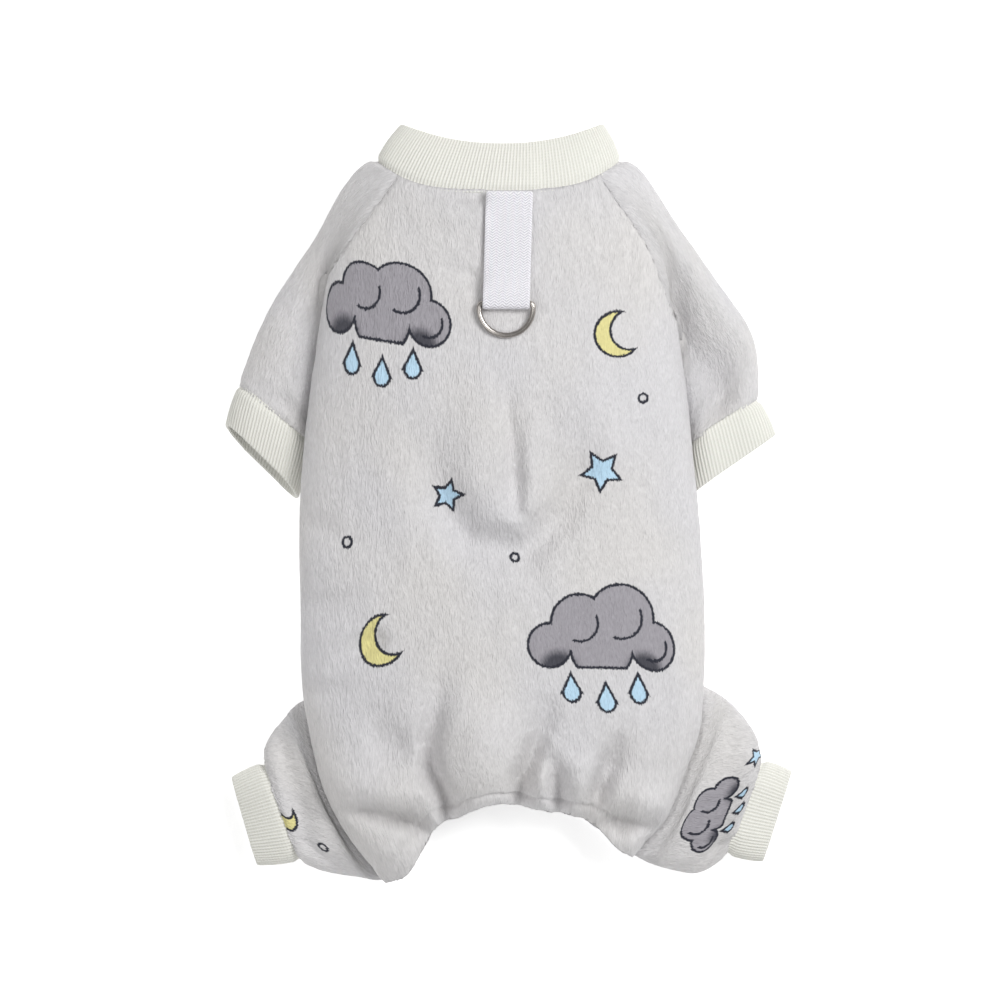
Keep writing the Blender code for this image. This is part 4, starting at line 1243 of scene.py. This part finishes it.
def tab_path():
    """The webbing's middle line, seen from the side: under the bar, round it on a half circle,
    back up over itself, and round the fold in the seam. Evenly divided, with its length."""
    fold = (UPPER_PLY - LOWER_PLY) / 2
    start = SEAM_GAP + WEBBING_WALL / 2 + fold
    under = np.linspace(start, BAR_DOWN, 60)[:-1]
    turn = np.radians(np.linspace(-90, 90, 33))
    over = np.linspace(BAR_DOWN, start, 90)[1:]
    flat = eased(np.minimum((BAR_DOWN - over) / TAB_TAPER, 1))
    rise = (BAR_LIFT + LOOP_RADIUS - UPPER_PLY) * (1 - flat)
    bend = np.radians(np.linspace(95, 265, 12))
    down = np.concatenate([
        under, BAR_DOWN + LOOP_RADIUS * np.cos(turn), over, start + fold * np.cos(bend),
    ])
    lift = np.concatenate([
        np.full(len(under), LOWER_PLY), BAR_LIFT + LOOP_RADIUS * np.sin(turn),
        UPPER_PLY + rise, LOWER_PLY + fold + fold * np.sin(bend),
    ])
    path = np.stack([down, lift, np.zeros_like(down)], axis=-1)
    return evenly(path, path[0], 480)[:, :2]


def herringbone(across, along):
    """Height of the weave: yarns side by side, each half a sine, whose line zigzags across."""
    zigzag = np.abs((across / CHEVRON) % 1 - 0.5) * 2 * CHEVRON_RISE
    yarn = np.abs(np.sin(math.pi * (along + zigzag) / PICK))
    selvedge = np.clip((TAB_WIDTH / 2 - np.abs(across)) / SELVEDGE, 0, 1)
    return YARN * yarn * selvedge + SELVEDGE_DROP * (np.sqrt(selvedge) - 1)


path = tab_path()
ahead = np.roll(path, -1, axis=0) - np.roll(path, 1, axis=0)
out = unit(np.stack([ahead[:, 1], -ahead[:, 0]], axis=-1))
along = running_length(path)
share = np.linspace(0.5, -0.5, 81)[:, None]
relief = herringbone(share * TAB_WIDTH, along[None, :])
faces_of_tab = []
for side_of_ply in (1, -1):
    offset = side_of_ply * (WEBBING_WALL / 2 - YARN + relief)
    down = path[:, 0] + out[:, 0] * offset
    rows = under_tab(down, tab_middle(path[:, 0]) + share * TAB_WIDTH)
    rows[..., 2] += path[:, 1] + out[:, 1] * offset
    faces_of_tab.append(rows)
webbing = Finish("white_webbing", 0.62, Sheen_Weight=0.1)
place = webbing.cloth_place()
fibres = webbing.noise(place, (0.25 * MM, 0.9 * MM), 2.0)
across, down = webbing.parts(place)
zigzag = across.math("PINGPONG", across + 9.5 * CHEVRON, CHEVRON / 2) * (2 * CHEVRON_RISE / CHEVRON)
yarn = abs(down.math("SINE", (down + zigzag) * (math.pi / PICK)))
# Painted shade: the furrows between the yarns are darkened in the colour, along the herringbone.
white = webbing.blend(yarn.below(0.40, 0.40), COOL_WHITE, PAINTED_SHADE_BETWEEN_YARNS)
webbing.finished(webbing.dimmed(white, fibres * 0.12 + 0.92), fibres * 0.3 + yarn, 0.25 * MM, 0.8)
u = share * TAB_WIDTH + np.zeros(len(path) + 1)
v = np.append(along, along[-1] + np.linalg.norm(path[0] - path[-1])) + np.zeros((len(share), 1))
places = np.stack([u, v], -1)
tab = cloth_wall("leash_strap", faces_of_tab[0], faces_of_tab[1][::2, ::2], places, True, webbing)
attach(tab, "suit")
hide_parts("leash_tab")

# ---------------------------------------------------------------------------------------------
# D-ring. Nickel-plated wire, 2.3 mm thick, bent to a straight bar with tight corners and a round
# bow. The bar lies in the fold of the webbing, and the ring swings on it.
# ---------------------------------------------------------------------------------------------
RING_DEPTH = 15.9 * MM
RING_CORNER = 1.6 * MM
RING_SIDE = 2.2 * MM
WIRE_STEPS = 220
WIRE_SIDES = 20
STEP_LENGTH = 0.33 * MM
SIDE_LENGTH = 0.36 * MM
BRIGHT_NICKEL = (0.52, 0.49, 0.46, 1)
DULL_NICKEL = (0.40, 0.37, 0.345, 1)
half = (RING_WIDTH - RING_WIRE) / 2
bow = RING_DEPTH - RING_WIRE - RING_SIDE
corner = np.radians(np.linspace(-90, 0, 13))
right_corner = np.stack([np.cos(corner), np.sin(corner)], axis=-1) * RING_CORNER
right_corner += (half - RING_CORNER, RING_CORNER)
turn = np.linspace(0, math.pi, 121)
round_bow = np.stack([half * np.cos(turn), RING_SIDE + bow * np.sin(turn)], axis=-1)
outline = np.concatenate([right_corner, round_bow, right_corner[::-1] * (-1, 1)])
outline = np.concatenate([outline, np.zeros((len(outline), 1))], axis=1)
outline = evenly(outline, outline[0], WIRE_STEPS)
ahead = unit(np.roll(outline, -1, axis=0) - np.roll(outline, 1, axis=0))
beside = np.stack([ahead[:, 1], -ahead[:, 0], np.zeros(len(ahead))], axis=-1)
tube_angle = np.linspace(0, 2 * math.pi, WIRE_SIDES, endpoint=False)[None, :, None]
round_wire = beside[:, None] * np.cos(tube_angle) + np.array([0, 0, 1]) * np.sin(tube_angle)
wire = outline[:, None] + round_wire * RING_WIRE / 2
bar = under_tab(BAR_DOWN, tab_middle(BAR_DOWN)) + (0, 0, BAR_LIFT)
bow_down = BAR_DOWN + RING_DEPTH - RING_WIRE
bow_rest = on_back(bow_down, tab_middle(BAR_DOWN)) + (0, 0, RING_WIRE / 2 + RING_CLEARANCE)
tilt = math.atan2(bar[2] - bow_rest[2], bar[1] - bow_rest[1])
ring_points = np.stack(
    [
        wire[..., 0],
        -wire[..., 1] * math.cos(tilt) - wire[..., 2] * math.sin(tilt),
        -wire[..., 1] * math.sin(tilt) + wire[..., 2] * math.cos(tilt),
    ],
    axis=-1,
)
nickel = Finish("nickel", 0.24, Metallic=1.0)
place = nickel.cloth_place()
tarnish = nickel.noise(place, (3 * MM, 3 * MM), 3.0)
metal = nickel.blend(tarnish, DULL_NICKEL, BRIGHT_NICKEL)
nickel.finished(metal, tarnish, 0.01 * MM, 0.3)
i, j = np.arange(WIRE_STEPS)[:, None], np.arange(WIRE_SIDES)[None, :]
cell = [(i, j), (i + 1, j), (i + 1, j + 1), (i, j + 1)]
faces = np.stack(
    [a % WIRE_STEPS * WIRE_SIDES + b % WIRE_SIDES for a, b in cell], axis=-1).reshape(-1, 4)
ring_corners = np.stack([
    np.stack(np.broadcast_arrays(a * STEP_LENGTH, b * SIDE_LENGTH), axis=-1) for a, b in cell
], axis=2).reshape(-1, 2)
ring = piece_of("ring_wire", ring_points.reshape(-1, 3) + bar_place, [faces], ring_corners, nickel)
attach(ring, "ring")
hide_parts("d_ring")

# ---------------------------------------------------------------------------------------------
# Table, light and camera. The suit lies on a plain white table under large soft lamps, and the
# camera looks straight down through a long lens.
# ---------------------------------------------------------------------------------------------
PIXEL = 0.43 * MM
PICTURE_WIDTH = 1000 * PIXEL
PICTURE_MIDDLE = (-8.5 * PIXEL, 2.5 * PIXEL)
CAMERA_HEIGHT = 2.2
LENS_WIDTH = 36.0
TABLE_HALF = 3.0
TABLE_DOWN = 0.1 * MM
TABLE_GLOW = 0.52
ROOM_LIGHT = 0.30
LAMPS = (
    # name, place, size, power
    ("key", (0.85, 0.55, 1.45), 0.8, 22.0),
    ("fill", (-0.9, -0.5, 1.6), 1.4, 9.5),
)
table_mesh = bpy.data.meshes.new("table_top")
table_corners = [(x, y, -TABLE_DOWN) for x, y in ((-1, -1), (1, -1), (1, 1), (-1, 1))]
table_corners = [(x * TABLE_HALF, y * TABLE_HALF, z) for x, y, z in table_corners]
table_mesh.from_pydata(table_corners, [], [(0, 1, 2, 3)])
white_top = Finish("white_table", 0.7)
white_top.shader.inputs["Base Color"].default_value = (0.93, 0.93, 0.93, 1)
white_top.shader.inputs["Emission Color"].default_value = (1, 1, 1, 1)
white_top.shader.inputs["Emission Strength"].default_value = TABLE_GLOW
table_mesh.materials.append(white_top.material)
table_top = bpy.data.objects.new("table_top", table_mesh)
bpy.context.scene.collection.objects.link(table_top)

world = bpy.data.worlds.new("studio")
world.use_nodes = True
world.node_tree.nodes["Background"].inputs[0].default_value = (1.0, 1.0, 1.0, 1)
world.node_tree.nodes["Background"].inputs[1].default_value = ROOM_LIGHT
bpy.context.scene.world = world
for name, place, size, power in LAMPS:
    lamp = bpy.data.lights.new(name, "AREA")
    lamp.size = size
    lamp.energy = power
    lamp_object = bpy.data.objects.new(name, lamp)
    lamp_object.location = place
    lamp_object.rotation_euler = (
        math.atan2(math.hypot(place[0], place[1]), place[2]), 0, math.atan2(place[0], -place[1]))
    bpy.context.scene.collection.objects.link(lamp_object)

camera = bpy.data.cameras.new("camera")
camera.sensor_width = LENS_WIDTH
camera.lens = LENS_WIDTH * (CAMERA_HEIGHT - BODY_HEIGHT / 2) / PICTURE_WIDTH
camera_object = bpy.data.objects.new("camera", camera)
camera_object.location = (*PICTURE_MIDDLE, CAMERA_HEIGHT)
bpy.context.scene.collection.objects.link(camera_object)
bpy.context.scene.camera = camera_object
bpy.context.scene.view_settings.view_transform = "Standard"
